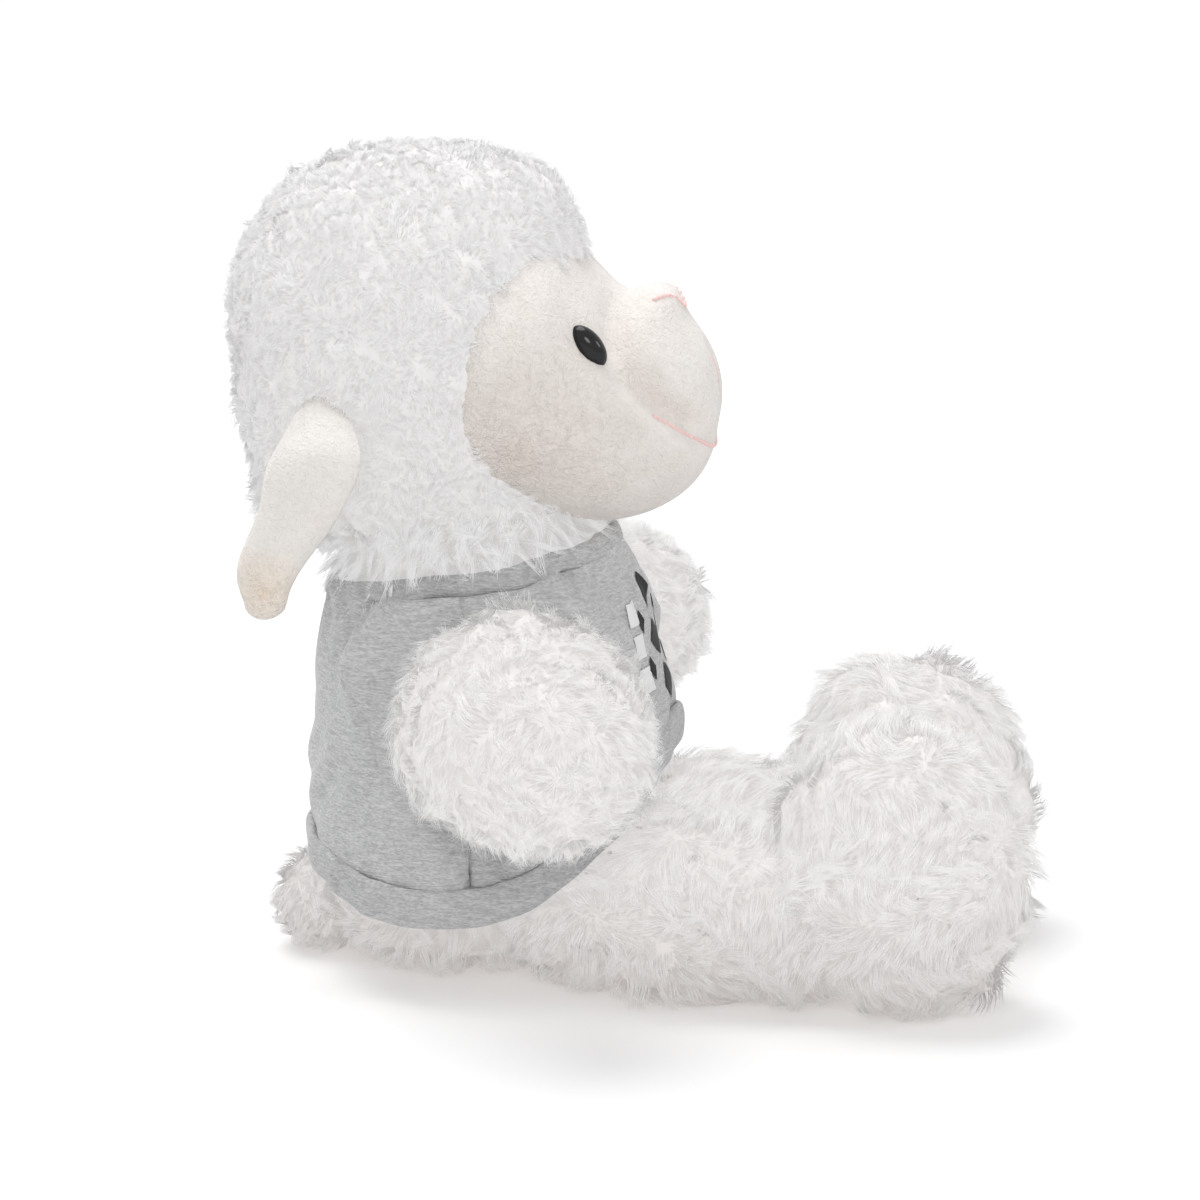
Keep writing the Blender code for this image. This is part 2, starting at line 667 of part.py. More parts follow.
def add_limbs(floor):
    """Arms, legs with their feet, and the tail: bags of fur with a filling in each."""
    for name, side in SIDES.items():
        add_bag(
            f"arm_{name}", "wool", shoulder_place(side), arm_direction(side),
            ARM_ROOT_RADIUS, ARM_LENGTH, ARM_SWELL_SHARES,
        )
        leg = add_bag(
            f"leg_{name}", "wool", hip_place(side), leg_direction(side),
            LEG_RADIUS, LEG_LENGTH, LEG_SWELL_SHARES,
        )
        foot = add_object(f"foot_{name}_skin", foot_form(f"foot_{name}", side, 0), "wool")
        combine(foot, add_cutter(f"foot_hollow_{name}", foot_form("hollow", side, FUR_BACKING)))
        inner = FUR_BACKING + FILLING_GAP
        filling = add_object(
            f"foot_{name}_filling", foot_form("filling", side, inner), "stuffing"
        )
        placing = aim(hip_place(side), leg_direction(side))
        profile = limb_profile(LEG_RADIUS, LEG_LENGTH, LEG_SWELL_SHARES, -FIT_GAP)
        leg_cutter = add_cutter(f"leg_cutter_{name}", spin_profile("leg", profile, placing))
        for piece in (foot, filling):
            combine(piece, leg_cutter)
        for piece in (leg[0], foot):
            combine(piece, floor)
    add_bag(
        "tail", "wool", TAIL_PLACE, Vector((-1, 0, 0)),
        TAIL_ROOT_RADIUS, TAIL_LENGTH, TAIL_SWELL_SHARES,
    )


def collar_z(turn):
    """The collar's height, lower at the back of the neck."""
    return TEE_TOP_Z + COLLAR_RISE * math.cos(turn)


def hem_z(turn):
    """The hem's height: it lies over the thighs in front and hangs at the sides."""
    front = max(0.0, math.cos(turn)) ** HEM_RISE_POWER
    back = max(0.0, -math.cos(turn)) ** 2
    rise = front * (HEM_FRONT_Z - HEM_SIDE_Z) + back * (HEM_BACK_Z - HEM_SIDE_Z)
    return HEM_SIDE_Z + rise


def tee_point(turn, z, out):
    """A point of the tee at a turn from the front, a height, and a distance outside its lining."""
    low = TEE_TOP_Z - TEE_HEIGHT
    place = (z - low) / (TEE_HEIGHT + COLLAR_RISE)
    half_depth = TEE_DEPTH / 2 * blend_shares(TEE_DEPTH_SHARES, place) + out
    half_width = TEE_WIDTH / 2 * blend_shares(TEE_WIDTH_SHARES, place) + out
    lean = TEE_DEPTH * blend_shares(TEE_LEAN_SHARES, place)
    power = 2 / TEE_SQUARENESS
    along = math.copysign(abs(math.cos(turn)) ** power, math.cos(turn))
    across = math.copysign(abs(math.sin(turn)) ** power, math.sin(turn))
    return Vector((TEE_MIDDLE_X + lean + half_depth * along, half_width * across, z))


def tee_patch(name, turns, heights, inside, outside, size=(TEE_COLUMNS, TEE_ROWS)):
    """A patch of tee cloth between two turns and two height rules, with its thickness."""
    columns, rows = size
    bm = bmesh.new()
    bmesh.ops.create_grid(bm, x_segments=columns, y_segments=rows, size=1)
    places = {}
    for vert in bm.verts:
        across, up = (vert.co.x + 1) / 2, (vert.co.y + 1) / 2
        turn = turns[0] + (turns[1] - turns[0]) * across
        low, high = heights[0](turn), heights[1](turn)
        places[vert] = (turn, low + (high - low) * up)
        vert.co = tee_point(*places[vert], inside)
    grown = bmesh.ops.extrude_face_region(bm, geom=bm.faces[:])
    near = {tuple(vert.co): place for vert, place in places.items()}
    for item in grown["geom"]:
        if isinstance(item, bmesh.types.BMVert):
            item.co = tee_point(*near[tuple(item.co)], outside)
    return to_mesh(name, bm)


def closed_rows(name, rows):
    """A tube bent round on itself: rows of points, joined each to the next and the last to the first."""
    bm = bmesh.new()
    rings = [[bm.verts.new(point) for point in row] for row in rows]
    for first, second in zip(rings, rings[1:] + rings[:1]):
        for i in range(len(first)):
            bm.faces.new((first[i - 1], first[i], second[i], second[i - 1]))
    return to_mesh(name, bm)


def tee_ring(name, heights, inside, outside, sides=2 * TEE_COLUMNS):
    """A band of tee cloth all the way round, between two height rules."""
    rows = []
    for out, rule in ((inside, 0), (inside, 1), (outside, 1), (outside, 0)):
        turns = [math.tau * step / sides - math.pi / 2 for step in range(sides)]
        rows.append([tee_point(turn, heights[rule](turn), out) for turn in turns])
    return closed_rows(name, rows)


def add_tee():
    """The sleeveless tee: two panels, a collar band, a turned hem, two bindings and a print."""
    above_hem = HEM_BAND + HEM_SEAM_GAP
    below_band = NECK_BAND + HEM_SEAM_GAP
    heights = (lambda turn: hem_z(turn) + above_hem, lambda turn: collar_z(turn) - below_band)
    seam = math.pi / 2
    seam_gap = FIT_GAP / (TEE_WIDTH / 2)
    front = tee_patch("tee_front", (seam_gap - seam, seam - seam_gap), heights, 0, JERSEY_CLOTH)
    back_turns = (seam + seam_gap, math.tau - seam - seam_gap)
    back = tee_patch("tee_back", back_turns, heights, 0, JERSEY_CLOTH)
    panels = [add_object("tee_front", front, "jersey"), add_object("tee_back", back, "jersey")]
    for name, side in SIDES.items():
        out = Vector((0, side, 0))
        middle = shoulder_place(side)
        start = middle - out * (SHOULDER_Y - ARMHOLE_BINDING_RADIUS)
        end = middle + out * OVERRUN
        hole_radius = ARMHOLE_RADIUS + ARMHOLE_BINDING_RADIUS + 2 * FILLING_GAP
        hole = add_rod_cutter(f"armhole_{name}", start, end, hole_radius)
        for panel in panels:
            combine(panel, hole)
        add_armhole_binding(name, side, middle)
    hem = tee_ring("tee_hem", (hem_z, lambda turn: hem_z(turn) + HEM_BAND), 0, HEM_THICKNESS)
    add_object("tee_hem", hem, "rib")
    band_heights = (lambda turn: collar_z(turn) - NECK_BAND, collar_z)
    band = tee_ring("tee_neck_band", band_heights, 0, NECK_BAND_THICKNESS)
    add_object("tee_neck_band", band, "rib")

    half_turn = PRINT_WIDTH / TEE_DEPTH
    print_heights = (lambda turn: PRINT_LOW_Z, lambda turn: PRINT_HIGH_Z)
    near = JERSEY_CLOTH + FIT_GAP
    film = tee_patch(
        "chest_print", (-half_turn, half_turn), print_heights, near, near + PRINT_THICKNESS
    )
    add_object("chest_print", film, "print")


def add_armhole_binding(name, side, middle):
    """The rolled edge round an armhole, which follows the tee's side."""
    corners = LIMB_SIDES // 2
    rows = []
    for step in range(BODY_SIDES):
        turn = math.tau * step / BODY_SIDES
        x = middle.x + ARMHOLE_RADIUS * math.cos(turn)
        z = middle.z + ARMHOLE_RADIUS * math.sin(turn)
        centre = tee_point(side_turn(x, z), z, JERSEY_CLOTH / 2)
        spoke = Vector((math.cos(turn), 0, math.sin(turn)))
        row = []
        for corner in range(corners):
            roll = math.tau * corner / corners
            offset = spoke * math.cos(roll) + Vector((0, 1, 0)) * math.sin(roll)
            place = centre + offset * ARMHOLE_BINDING_RADIUS
            row.append(Vector((place.x, side * place.y, place.z)))
        rows.append(row)
    title = f"tee_armhole_{name}"
    add_object(title, closed_rows(title, rows), "rib")


def side_turn(x, z):
    """The turn at which the tee's left side has this X at this height."""
    low, high = 0.0, math.pi
    for _ in range(30):
        middle = (low + high) / 2
        if tee_point(middle, z, 0).x > x:
            low = middle
        else:
            high = middle
    return (low + high) / 2


def main():
    clear_scene()
    floor = add_floor_cutter()
    add_body(floor)
    add_neck()
    face, filling = add_head()
    tree = surface_tree(face.data)
    add_eyes(tree, face, filling)
    add_stitches(tree)
    add_ears(surface_tree(bpy.data.objects["head_wool_skin"].data))
    add_limbs(floor)
    add_tee()


main()
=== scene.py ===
# %% [markdown]
# # A plush sheep in a sleeveless tee
# The toy is a handful of sewn bags: curly wool, a short-pile face, a knitted tee.
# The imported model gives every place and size, so the first step is to load it. Each piece
# made here stands for one of its nodes and rides on the same body.

# %% Load the frame
import math
from dataclasses import dataclass

import bmesh
import bpy
import numpy as np
from mathutils import Matrix, Vector, noise
from mathutils.bvhtree import BVHTree
from mathutils.kdtree import KDTree


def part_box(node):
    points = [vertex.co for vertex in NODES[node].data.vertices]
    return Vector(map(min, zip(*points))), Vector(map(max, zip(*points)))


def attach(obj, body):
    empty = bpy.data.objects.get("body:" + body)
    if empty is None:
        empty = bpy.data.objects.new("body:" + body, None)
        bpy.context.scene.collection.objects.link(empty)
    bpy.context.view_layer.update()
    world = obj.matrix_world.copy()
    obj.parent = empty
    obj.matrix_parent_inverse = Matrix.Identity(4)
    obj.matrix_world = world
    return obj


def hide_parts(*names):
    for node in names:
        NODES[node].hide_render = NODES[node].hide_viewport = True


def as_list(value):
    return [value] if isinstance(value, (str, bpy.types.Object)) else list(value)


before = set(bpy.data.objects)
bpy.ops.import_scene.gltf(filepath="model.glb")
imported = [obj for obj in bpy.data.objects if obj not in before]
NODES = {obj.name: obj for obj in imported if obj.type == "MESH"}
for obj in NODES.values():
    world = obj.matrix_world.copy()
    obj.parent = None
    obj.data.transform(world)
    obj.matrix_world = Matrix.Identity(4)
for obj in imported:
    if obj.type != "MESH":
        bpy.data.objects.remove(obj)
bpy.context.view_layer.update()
SIDES = {"right": -1, "left": 1}
print("nodes:", len(NODES))

# %% [markdown]
# The camera looks from the toy's right, a little above, with a long lens, so that near and
# far legs keep almost the same size. A camera could be aimed with a constraint. Here its
# direction is worked out once, which keeps the scene free of helpers.

# %% Camera
CAMERA_TURN, CAMERA_RISE, CAMERA_DISTANCE = math.radians(6.5), math.radians(13), 1.0
CAMERA_TARGET = Vector((-0.007, 0, 0.0876))


def add_object(name, data):
    """A new object in the scene."""
    made = bpy.data.objects.new(name, data)
    bpy.context.scene.collection.objects.link(made)
    return made


def look_against(item, direction):
    """Turn a camera or lamp to look against a direction."""
    item.rotation_euler = direction.to_track_quat("Z", "Y").to_euler()


camera_data = bpy.data.cameras.new("camera")
camera_data.sensor_width = 36
camera_data.lens = 127
camera_data.clip_start = 0.05
camera = add_object("camera", camera_data)
level = math.cos(CAMERA_RISE)
away = Vector((math.sin(CAMERA_TURN) * level, -math.cos(CAMERA_TURN) * level, math.sin(CAMERA_RISE)))
camera.location = CAMERA_TARGET + away * CAMERA_DISTANCE
look_against(camera, away)
bpy.context.scene.camera = camera
bpy.context.scene.view_settings.view_transform = "Standard"
print("camera at", tuple(round(x, 3) for x in camera.location))

# %% [markdown]
# White shows its form only through soft shade. A broad lamp stands above and behind, a
# weaker one before the face, and a small one near the camera puts the highlight on the eye.
# An even world fills in the rest. A sun would be simpler, but its shadows are too hard.

# %% Light
LAMP_TARGET = Vector((0, 0, 0.09))


def add_lamp(name, place, size, power):
    """One round lamp, turned to the middle of the toy."""
    lamp = bpy.data.lights.new(name, "AREA")
    lamp.shape = "DISK"
    lamp.size = size
    lamp.energy = power
    holder = add_object(name, lamp)
    holder.location = place
    look_against(holder, Vector(place) - LAMP_TARGET)


add_lamp("lamp_above", (-0.32, 0.20, 1.20), 1.1, 10.4)
add_lamp("lamp_front", (1.20, -0.32, 0.80), 0.45, 2.8)
add_lamp("lamp_near", (0.02, -0.95, 0.62), 0.38, 2.2)
print("lamps:", len(bpy.data.lights))

# %% [markdown]
# Shader maths reads best as plain expressions. A small class wraps a node's socket and
# adds a Math node for each operator. One method makes every other kind of node.

# %% Shader expressions
def math_node(operation, swapped=False):
    """A method that adds one Math node."""
    def method(self, *others):
        values = (*others, self) if swapped else (self, *others)
        return self.graph.node("ShaderNodeMath", {"operation": operation}, enumerate(values))

    return method


class Value:
    """A socket that can be added, multiplied and so on."""

    def __init__(self, graph, socket):
        self.graph, self.socket = graph, socket

    __add__, __mul__, __abs__ = math_node("ADD"), math_node("MULTIPLY"), math_node("ABSOLUTE")
    __sub__, __rsub__ = math_node("SUBTRACT"), math_node("SUBTRACT", swapped=True)
    over, or_more = math_node("GREATER_THAN"), math_node("MAXIMUM")


def rgba(colour):
    """Four numbers from a colour of three, or from one number for a grey."""
    return (*colour, 1) if isinstance(colour, tuple) else (colour, colour, colour, 1)


class Graph:
    """The nodes of one material or world."""

    def __init__(self, owner, shader, constants):
        owner.use_nodes = True
        self.owner, self.tree = owner, owner.node_tree
        self.shader = self.tree.nodes[shader]
        for socket, value in constants.items():
            self.shader.inputs[socket].default_value = value

    def fill(self, socket, value):
        if isinstance(value, Value):
            self.tree.links.new(value.socket, socket)
        else:
            socket.default_value = value

    def node(self, kind, settings=None, inputs=(), output=0):
        """Make a node, set it up, and fill its sockets with values or links."""
        made = self.tree.nodes.new(kind)
        for key, value in (settings or {}).items():
            setattr(made, key, value)
        for key, value in dict(inputs).items():
            self.fill(made.inputs[key], value)
        return Value(self, made.outputs[output])

    def place(self, scale=(1, 1, 1), turned=(0, 0, 0)):
        coords = self.node("ShaderNodeTexCoord", output="Object")
        return self.node("ShaderNodeMapping", inputs={"Vector": coords, "Scale": scale, "Rotation": turned})

    def vector(self, operation, *values, output=0):
        return self.node("ShaderNodeVectorMath", {"operation": operation}, enumerate(values), output)

    def noise(self, scale, detail=2.0, vector=None, roughness=0.5, distortion=0.0):
        inputs = {"Vector": vector or self.place(), "Scale": scale, "Detail": detail}
        inputs |= {"Roughness": roughness, "Distortion": distortion}
        return self.node("ShaderNodeTexNoise", inputs=inputs)

    def tone(self, name, output="Fac"):
        return self.node("ShaderNodeAttribute", {"attribute_name": name}, output=output)

    def ramp(self, factor, stops):
        made = self.tree.nodes.new("ShaderNodeValToRGB")
        elements = made.color_ramp.elements
        while len(elements) < len(stops):
            elements.new(0.5)
        for element, (place, colour) in zip(elements, stops):
            element.position = place
            element.color = rgba(colour)
        self.fill(made.inputs[0], factor)
        return Value(self, made.outputs[0])

    def mix(self, factor, first, second):
        first, second = (c if isinstance(c, Value) else rgba(c) for c in (first, second))
        return self.node("ShaderNodeMix", {"data_type": "RGBA"}, {0: factor, 6: first, 7: second}, output=2)

    def bump(self, height, depth, strength=1.0):
        return self.node("ShaderNodeBump", inputs={"Height": height, "Distance": depth, "Strength": strength})

    def feed(self, **sockets):
        for name, value in sockets.items():
            self.fill(self.shader.inputs[name.replace("_", " ")], value)
        return self.owner


def material_graph(name, constants):
    return Graph(bpy.data.materials.new(name), "Principled BSDF", constants)


print("shader helpers ready")

# %% [markdown]
# The floor keeps the toy's soft shadow, and beyond it all is white. To the camera, and in
# mirrors and clear pieces, the floor also glows a little. That lifts its unshaded part to
# white and nothing else.

# %% Floor and world
def seen_directly(graph):
    """1 for the camera's rays and those that a mirror or a clear piece passes on."""
    rays = graph.tree.nodes.new("ShaderNodeLightPath")
    kinds = ("Is Camera Ray", "Is Glossy Ray", "Is Transmission Ray")
    camera_ray, glossy, clear = (Value(graph, rays.outputs[kind]) for kind in kinds)
    return camera_ray + glossy + clear


def add_floor(size):
    bm = bmesh.new()
    bmesh.ops.create_grid(bm, x_segments=1, y_segments=1, size=size)
    mesh = bpy.data.meshes.new("floor")
    bm.to_mesh(mesh)
    bm.free()
    floor = add_object("floor", mesh)
    paper = {"Base Color": rgba(0.86), "Roughness": 0.9, "Emission Strength": 1.0}
    graph = material_graph("floor_paper", paper)
    from_middle = graph.vector("LENGTH", graph.place(), output=1)
    haze = graph.ramp(from_middle * 0.4, [(0.08, (0.14, 0.135, 0.13)), (0.50, 0.52)])
    mesh.materials.append(graph.feed(Emission_Color=graph.mix(seen_directly(graph), 0, haze)))


def light_world(strength):
    world = bpy.data.worlds.new("studio")
    bpy.context.scene.world = world
    graph = Graph(world, "Background", {"Color": (0.97, 0.98, 1.0, 1), "Strength": strength})
    even = Value(graph, graph.shader.outputs[0])
    white = graph.node("ShaderNodeBackground", inputs={"Color": rgba(1)})
    mixed = graph.node("ShaderNodeMixShader", inputs={0: seen_directly(graph), 1: even, 2: white})
    graph.fill(graph.tree.nodes["World Output"].inputs["Surface"], mixed)


add_floor(6)
light_world(0.53)
print("floor and world ready")

# %% [markdown]
# White plush is bright at the tips and a shade darker at the roots, where less light gets
# in. That darker root is painted shade in the colour. Each strand keeps three things on its
# vertices: its height, a chance of its own, and the direction of the form below it. The
# material turns them into colour and soft shade. It also glows, painted light that stands
# in for light passing from fibre to fibre, and near the floor the glow is dimmed as painted
# shade. A picture could do this, but would blur up close.

# %% Wool, and the pile of face and ears
# The wool's glow is painted light, and its dimming near the floor is painted shade.
PAINTED_GLOW_SHARE = 0.35  # how much of the colour is left to the glow
GLOW_FADES_BELOW, NEAR_FLOOR_SHADED_GLOW = 0.04, (0.36, 0.31, 0.29)
FORM_AT_ROOT, FORM_LESS_AT_TIP = 7, 5.8  # how far the form's direction outweighs a strand's


def form_normal(graph, share):
    """The form's own direction, kept on each strand, outweighs the strand's."""
    spaces = {"vector_type": "NORMAL", "convert_from": "OBJECT", "convert_to": "WORLD"}
    form = graph.node("ShaderNodeVectorTransform", spaces, {"Vector": graph.tone("form", "Vector")})
    form = graph.node("ShaderNodeVectorMath", {"operation": "SCALE"}, {"Vector": form, "Scale": share})
    own = graph.node("ShaderNodeNewGeometry", output="Normal")
    return graph.vector("NORMALIZE", graph.vector("ADD", form, own))


def wool_material(name, root, tip, tint, painted_glow):
    """Root and tip colours of plush, and how far single strands stray from them. The darker roots are painted
    shade, and the glow is painted light.
    """
    soft = {"Roughness": 0.75, "Sheen Weight": 0.2, "Sheen Roughness": 0.5, "Emission Strength": painted_glow}
    graph = material_graph(name, soft)
    height = graph.tone("height")
    # Painted shade: the bare skin and the roots are darker than the tips, and the root colour is darker than
    # the tip colour.
    root_shade = tuple(0.86 * c for c in root)
    colour = graph.ramp(height, [(0, root_shade), (0.15, root), (0.75, tip), (1, tip)])
    patches = graph.noise(38).over(0.56)
    colour = graph.mix(graph.tone("chance") * 0.30 + patches * 0.08, colour, tint)
    # Painted shade: near the floor the glow dims towards a darker colour.
    low = graph.node("ShaderNodeSeparateXYZ", inputs={0: graph.place()}, output="Z")
    floor_shade = graph.ramp(low * (1 / GLOW_FADES_BELOW), [(0, 0.55), (0.85, 0)])
    return graph.feed(
        Base_Color=graph.mix(PAINTED_GLOW_SHARE, colour, 0),
        Emission_Color=graph.mix(floor_shade, colour, NEAR_FLOOR_SHADED_GLOW),
        Normal=form_normal(graph, FORM_AT_ROOT - height * FORM_LESS_AT_TIP),
    )


def pile_material(name, light, dark, warm, spot, spread, spot_shade):
    """Short cut pile: tiny soft grains with faint brushed patches, and one darker, warmer spot of painted
    shade, where the pile also curls more.
    """
    # A faint glow in the pile's own colour is painted light.
    soft = {"Roughness": 0.85, "Sheen Weight": 0.35, "Sheen Roughness": 0.45, "Emission Strength": 0.06}
    graph = material_graph(name, soft)
    brushed = graph.noise(110, 4)
    colour = graph.mix(graph.ramp(brushed, [(0.35, 0), (0.65, 1)]), dark, light)
    colour = graph.mix(graph.ramp(graph.noise(24), [(0.45, 0), (0.75, 0.5)]), colour, warm)
    # Painted shade: a darker, warmer spot round one place, low on the cheek or at the ear's tip.
    off = graph.vector("LENGTH", graph.vector("SUBTRACT", graph.place((1, 0, 1)), spot), output=1)
    shade_and_curl_mask = graph.ramp(off * (1 / spread), [(0.02, 0.85), (0.16, 0.55), (0.9, 0)])
    colour = graph.mix(shade_and_curl_mask, colour, spot_shade)
    curls = graph.noise(520, distortion=2.2) * (shade_and_curl_mask * 2.6 + 1.2)
    grain = graph.bump(graph.noise(1500, 3) * 0.8 + curls + brushed * 0.8, 0.0006, 0.75)
    return graph.feed(Base_Color=colour, Emission_Color=colour, Normal=grain)


# The last number of each is the painted glow: light the wool gives off though it is no lamp.
WOOL = wool_material("curly_wool", (0.80, 0.785, 0.778), (0.835, 0.832, 0.832), (0.81, 0.80, 0.795), 0.57)
SHAG = wool_material("shaggy_wool", (0.79, 0.762, 0.748), (0.835, 0.828, 0.823), (0.80, 0.782, 0.772), 0.64)
PILE = pile_material(
    "face_pile", (0.84, 0.80, 0.765), (0.785, 0.735, 0.695), (0.785, 0.72, 0.67),
    spot=(-0.022, 0, 0.128), spread=0.042, spot_shade=(0.71, 0.63, 0.565),
)
EAR_PILE = pile_material(
    "ear_pile", (0.815, 0.785, 0.75), (0.78, 0.74, 0.70), (0.79, 0.73, 0.67),
    spot=(-0.0775, 0, 0.0994), spread=0.013, spot_shade=(0.84, 0.70, 0.55),
)
print("plush materials ready")

# %% [markdown]
# Every stuffed bag of the toy is a ball that swells, tapers and leans. Tables of shares
# say how far at a few heights, and a smooth curve reads them in between. Pushing vertices
# by hand would do as well, but a table keeps both sides alike.

# %% Stuffed forms
def clamp(value, low=0.0):
    return min(max(value, low), 1.0)


def bell(distance, spread):
    """A soft bump: 1 in the middle, and nearly 0 two spreads away."""
    return math.exp(-(distance / spread) ** 2)


def read_shares(shares, place):
    """Read a table at a place from 0 to 1."""
    last = len(shares) - 1
    at = clamp(place) * last
    low = min(int(at), last - 1)
    part = at - low
    before, start = shares[max(low - 1, 0)], shares[low]
    end, after = shares[low + 1], shares[min(low + 2, last)]
    rise_in, rise_out = (end - before) / 2, (after - start) / 2
    cube, square = part ** 3, part ** 2
    return (
        start * (2 * cube - 3 * square + 1) + rise_in * (cube - 2 * square + part)
        + end * (3 * square - 2 * cube) + rise_out * (cube - square)
    )


def ball(sides, rows, radius=1, middle=(0, 0, 0)):
    bm = bmesh.new()
    placing = Matrix.Translation(middle)
    bmesh.ops.create_uvsphere(bm, u_segments=sides, v_segments=rows, radius=radius, matrix=placing)
    return bm


def standing_form(middle, size, depths, widths, leans, sides=64, rows=40):
    """An upright stuffed form."""
    bm = ball(sides, rows)
    for vert in bm.verts:
        place = (vert.co.z + 1) / 2
        x = vert.co.x * size[0] / 2 * read_shares(depths, place)
        y = vert.co.y * size[1] / 2 * read_shares(widths, place)
        lean = size[0] * read_shares(leans, place)
        vert.co = Vector((middle[0] + x + lean, middle[1] + y, middle[2] + vert.co.z * size[2] / 2))
    return bm


def facing(direction):
    """The turn that takes Z to a direction."""
    return direction.to_track_quat("Z", "Y").to_matrix().to_4x4()


def spun(profile, sides, gap):
    """A form spun round Z from pairs of radius and height."""
    bm = bmesh.new()
    verts = [bm.verts.new((radius, 0, along)) for radius, along in profile]
    verts[-1].co.x = 0
    edges = [bm.edges.new(pair) for pair in zip(verts, verts[1:])]
    around = {"cent": (0, 0, 0), "axis": (0, 0, 1), "angle": math.tau}
    bmesh.ops.spin(bm, geom=verts + edges, **around, steps=sides, use_merge=True)
    bmesh.ops.remove_doubles(bm, verts=bm.verts, dist=gap)
    return bm


def way_out(side, turn, drop):
    """A direction to one side, turned out from straight ahead and dropping a little."""
    turn, drop = math.radians(turn), math.radians(drop)
    return Vector((math.cos(drop) * math.cos(turn), side * math.cos(drop) * math.sin(turn), -math.sin(drop)))


def limb_form(place, direction, root, length, swells):
    """A round-ended limb from its joint ball to its tip."""
    tip = root * swells[-1]
    barrel = length - tip
    quarter = math.pi / 2
    profile = [(root * math.sin(t), -root * math.cos(t)) for t in np.linspace(0, quarter, 9)[:-1]]
    profile += [(root * read_shares(swells, s), barrel * s) for s in np.linspace(0, 1, 40)]
    profile += [(tip * math.cos(t), barrel + tip * math.sin(t)) for t in np.linspace(0, quarter, 16)[1:]]
    bm = spun(profile, 96, 1e-6)
    bmesh.ops.dissolve_degenerate(bm, edges=bm.edges, dist=1e-6)
    bmesh.ops.transform(bm, matrix=Matrix.Translation(place) @ facing(direction), verts=bm.verts)
    bmesh.ops.recalc_face_normals(bm, faces=bm.faces)
    return bm


def displaced(bm, move):
    """Move every vertex by what a rule makes of it, all from the same start."""
    bm.normal_update()
    for vert, by in [(vert, move(vert)) for vert in bm.verts]:
        vert.co += by
    return bm


def shrunk(bm, depth):
    """Draw a form in, all over, by some depth."""
    return displaced(bm, lambda vert: vert.normal * -depth)


def dress(name, mesh, finish, body, nodes):
    """Finish a mesh and let it ride on a body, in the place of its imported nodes."""
    mesh.shade_smooth()
    mesh.materials.append(finish)
    piece = add_object(name, mesh)
    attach(piece, body)
    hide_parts(*nodes)
    return piece


def add_piece(name, bm, finish, body, nodes):
    """Turn a bmesh into a finished, smooth piece."""
    mesh = bpy.data.meshes.new(name)
    bm.to_mesh(mesh)
    bm.free()
    return dress(name, mesh, finish, body, nodes)


print("form helpers ready")

# %% [markdown]
# Plush is thousands of fine strands that stick together in locks. One strand is a three
# sided cone with a ring halfway, and copies of it are bent along their own paths. Particle
# hair would be quicker to make, but it has no mesh, so it can't be kept or measured.

# %% One strand
corner = math.sqrt(0.75)
ring = [(0, 1), (-corner, -0.5), (corner, -0.5)]
STRAND_RING = np.array(ring + ring + [(0, 0)])
STRAND_HEIGHTS = np.array([0, 0, 0, 0.5, 0.5, 0.5, 1])
STRAND_FACES = np.array([
    (0, 2, 1), (3, 2, 0), (3, 5, 2), (5, 1, 2), (5, 4, 1), (4, 0, 1), (4, 3, 0),
    (3, 6, 5), (5, 6, 4), (4, 6, 3),
])
print("strand faces:", len(STRAND_FACES))


# %% Roots of the strands
def arrays_of(bm):
    """A form's points, normals and triangles."""
    mesh = bpy.data.meshes.new("form")
    bm.to_mesh(mesh)
    bm.free()
    mesh.calc_loop_triangles()
    corners = np.array([tri.vertices[:] for tri in mesh.loop_triangles])
    points, normals = np.array([(vert.co, vert.normal) for vert in mesh.vertices]).swapaxes(0, 1)
    bpy.data.meshes.remove(mesh)
    return points, normals, corners


def scatter(points, normals, corners, count, rng, keep):
    """Random points and normals on a form, spread evenly by area, where keep allows."""
    a, b, c = (points[corners[:, i]] for i in range(3))
    areas = np.linalg.norm(np.cross(b - a, c - a), axis=1) / 2
    chosen = rng.choice(len(areas), count, p=areas / areas.sum())
    u, v = rng.random(count), rng.random(count)
    folded = u + v > 1
    u[folded], v[folded] = 1 - u[folded], 1 - v[folded]
    weights = np.stack([1 - u - v, u, v], 1)[:, :, None]
    places = (points[corners[chosen]] * weights).sum(1)
    out = unit((normals[corners[chosen]] * weights).sum(1))
    kept = keep(places)
    return places[kept], out[kept]


def swirl(places, scale, seed):
    """A smooth field of directions, from a few waves in space."""
    rng = np.random.default_rng(seed)
    total = np.zeros_like(places)
    for _ in range(5):
        waves = rng.normal(size=(3, 3)) * scale
        total += np.sin(places @ waves.T + rng.random(3) * math.tau)
    return total / 2.2


def unit(vectors):
    return vectors / np.maximum(np.linalg.norm(vectors, axis=1), 1e-9)[:, None]


print("root helpers ready")

# %% How plush lies
FLOOR_SKIN = 0.0003  # no strand or stuffed form comes nearer to the floor than this


@dataclass
class Plush:
    """How the strands of one plush grow."""

    length: float
    width: float
    lean: float  # along the skin
    rise: float  # off the skin
    lock: int  # strands that stick together
    pull: float = 0.7  # how far they are drawn to their lock
    curl: float = 0.0009
    turns: float = 0.5  # of the curl
    swirls: float = 0.5  # against the way the plush is combed
    wave: float = 160  # how close the swirls are
    stray: float = 0.5  # how far one lock differs from the next


def along_skin(vectors, out):
    return unit(vectors - out * (vectors * out).sum(1)[:, None])


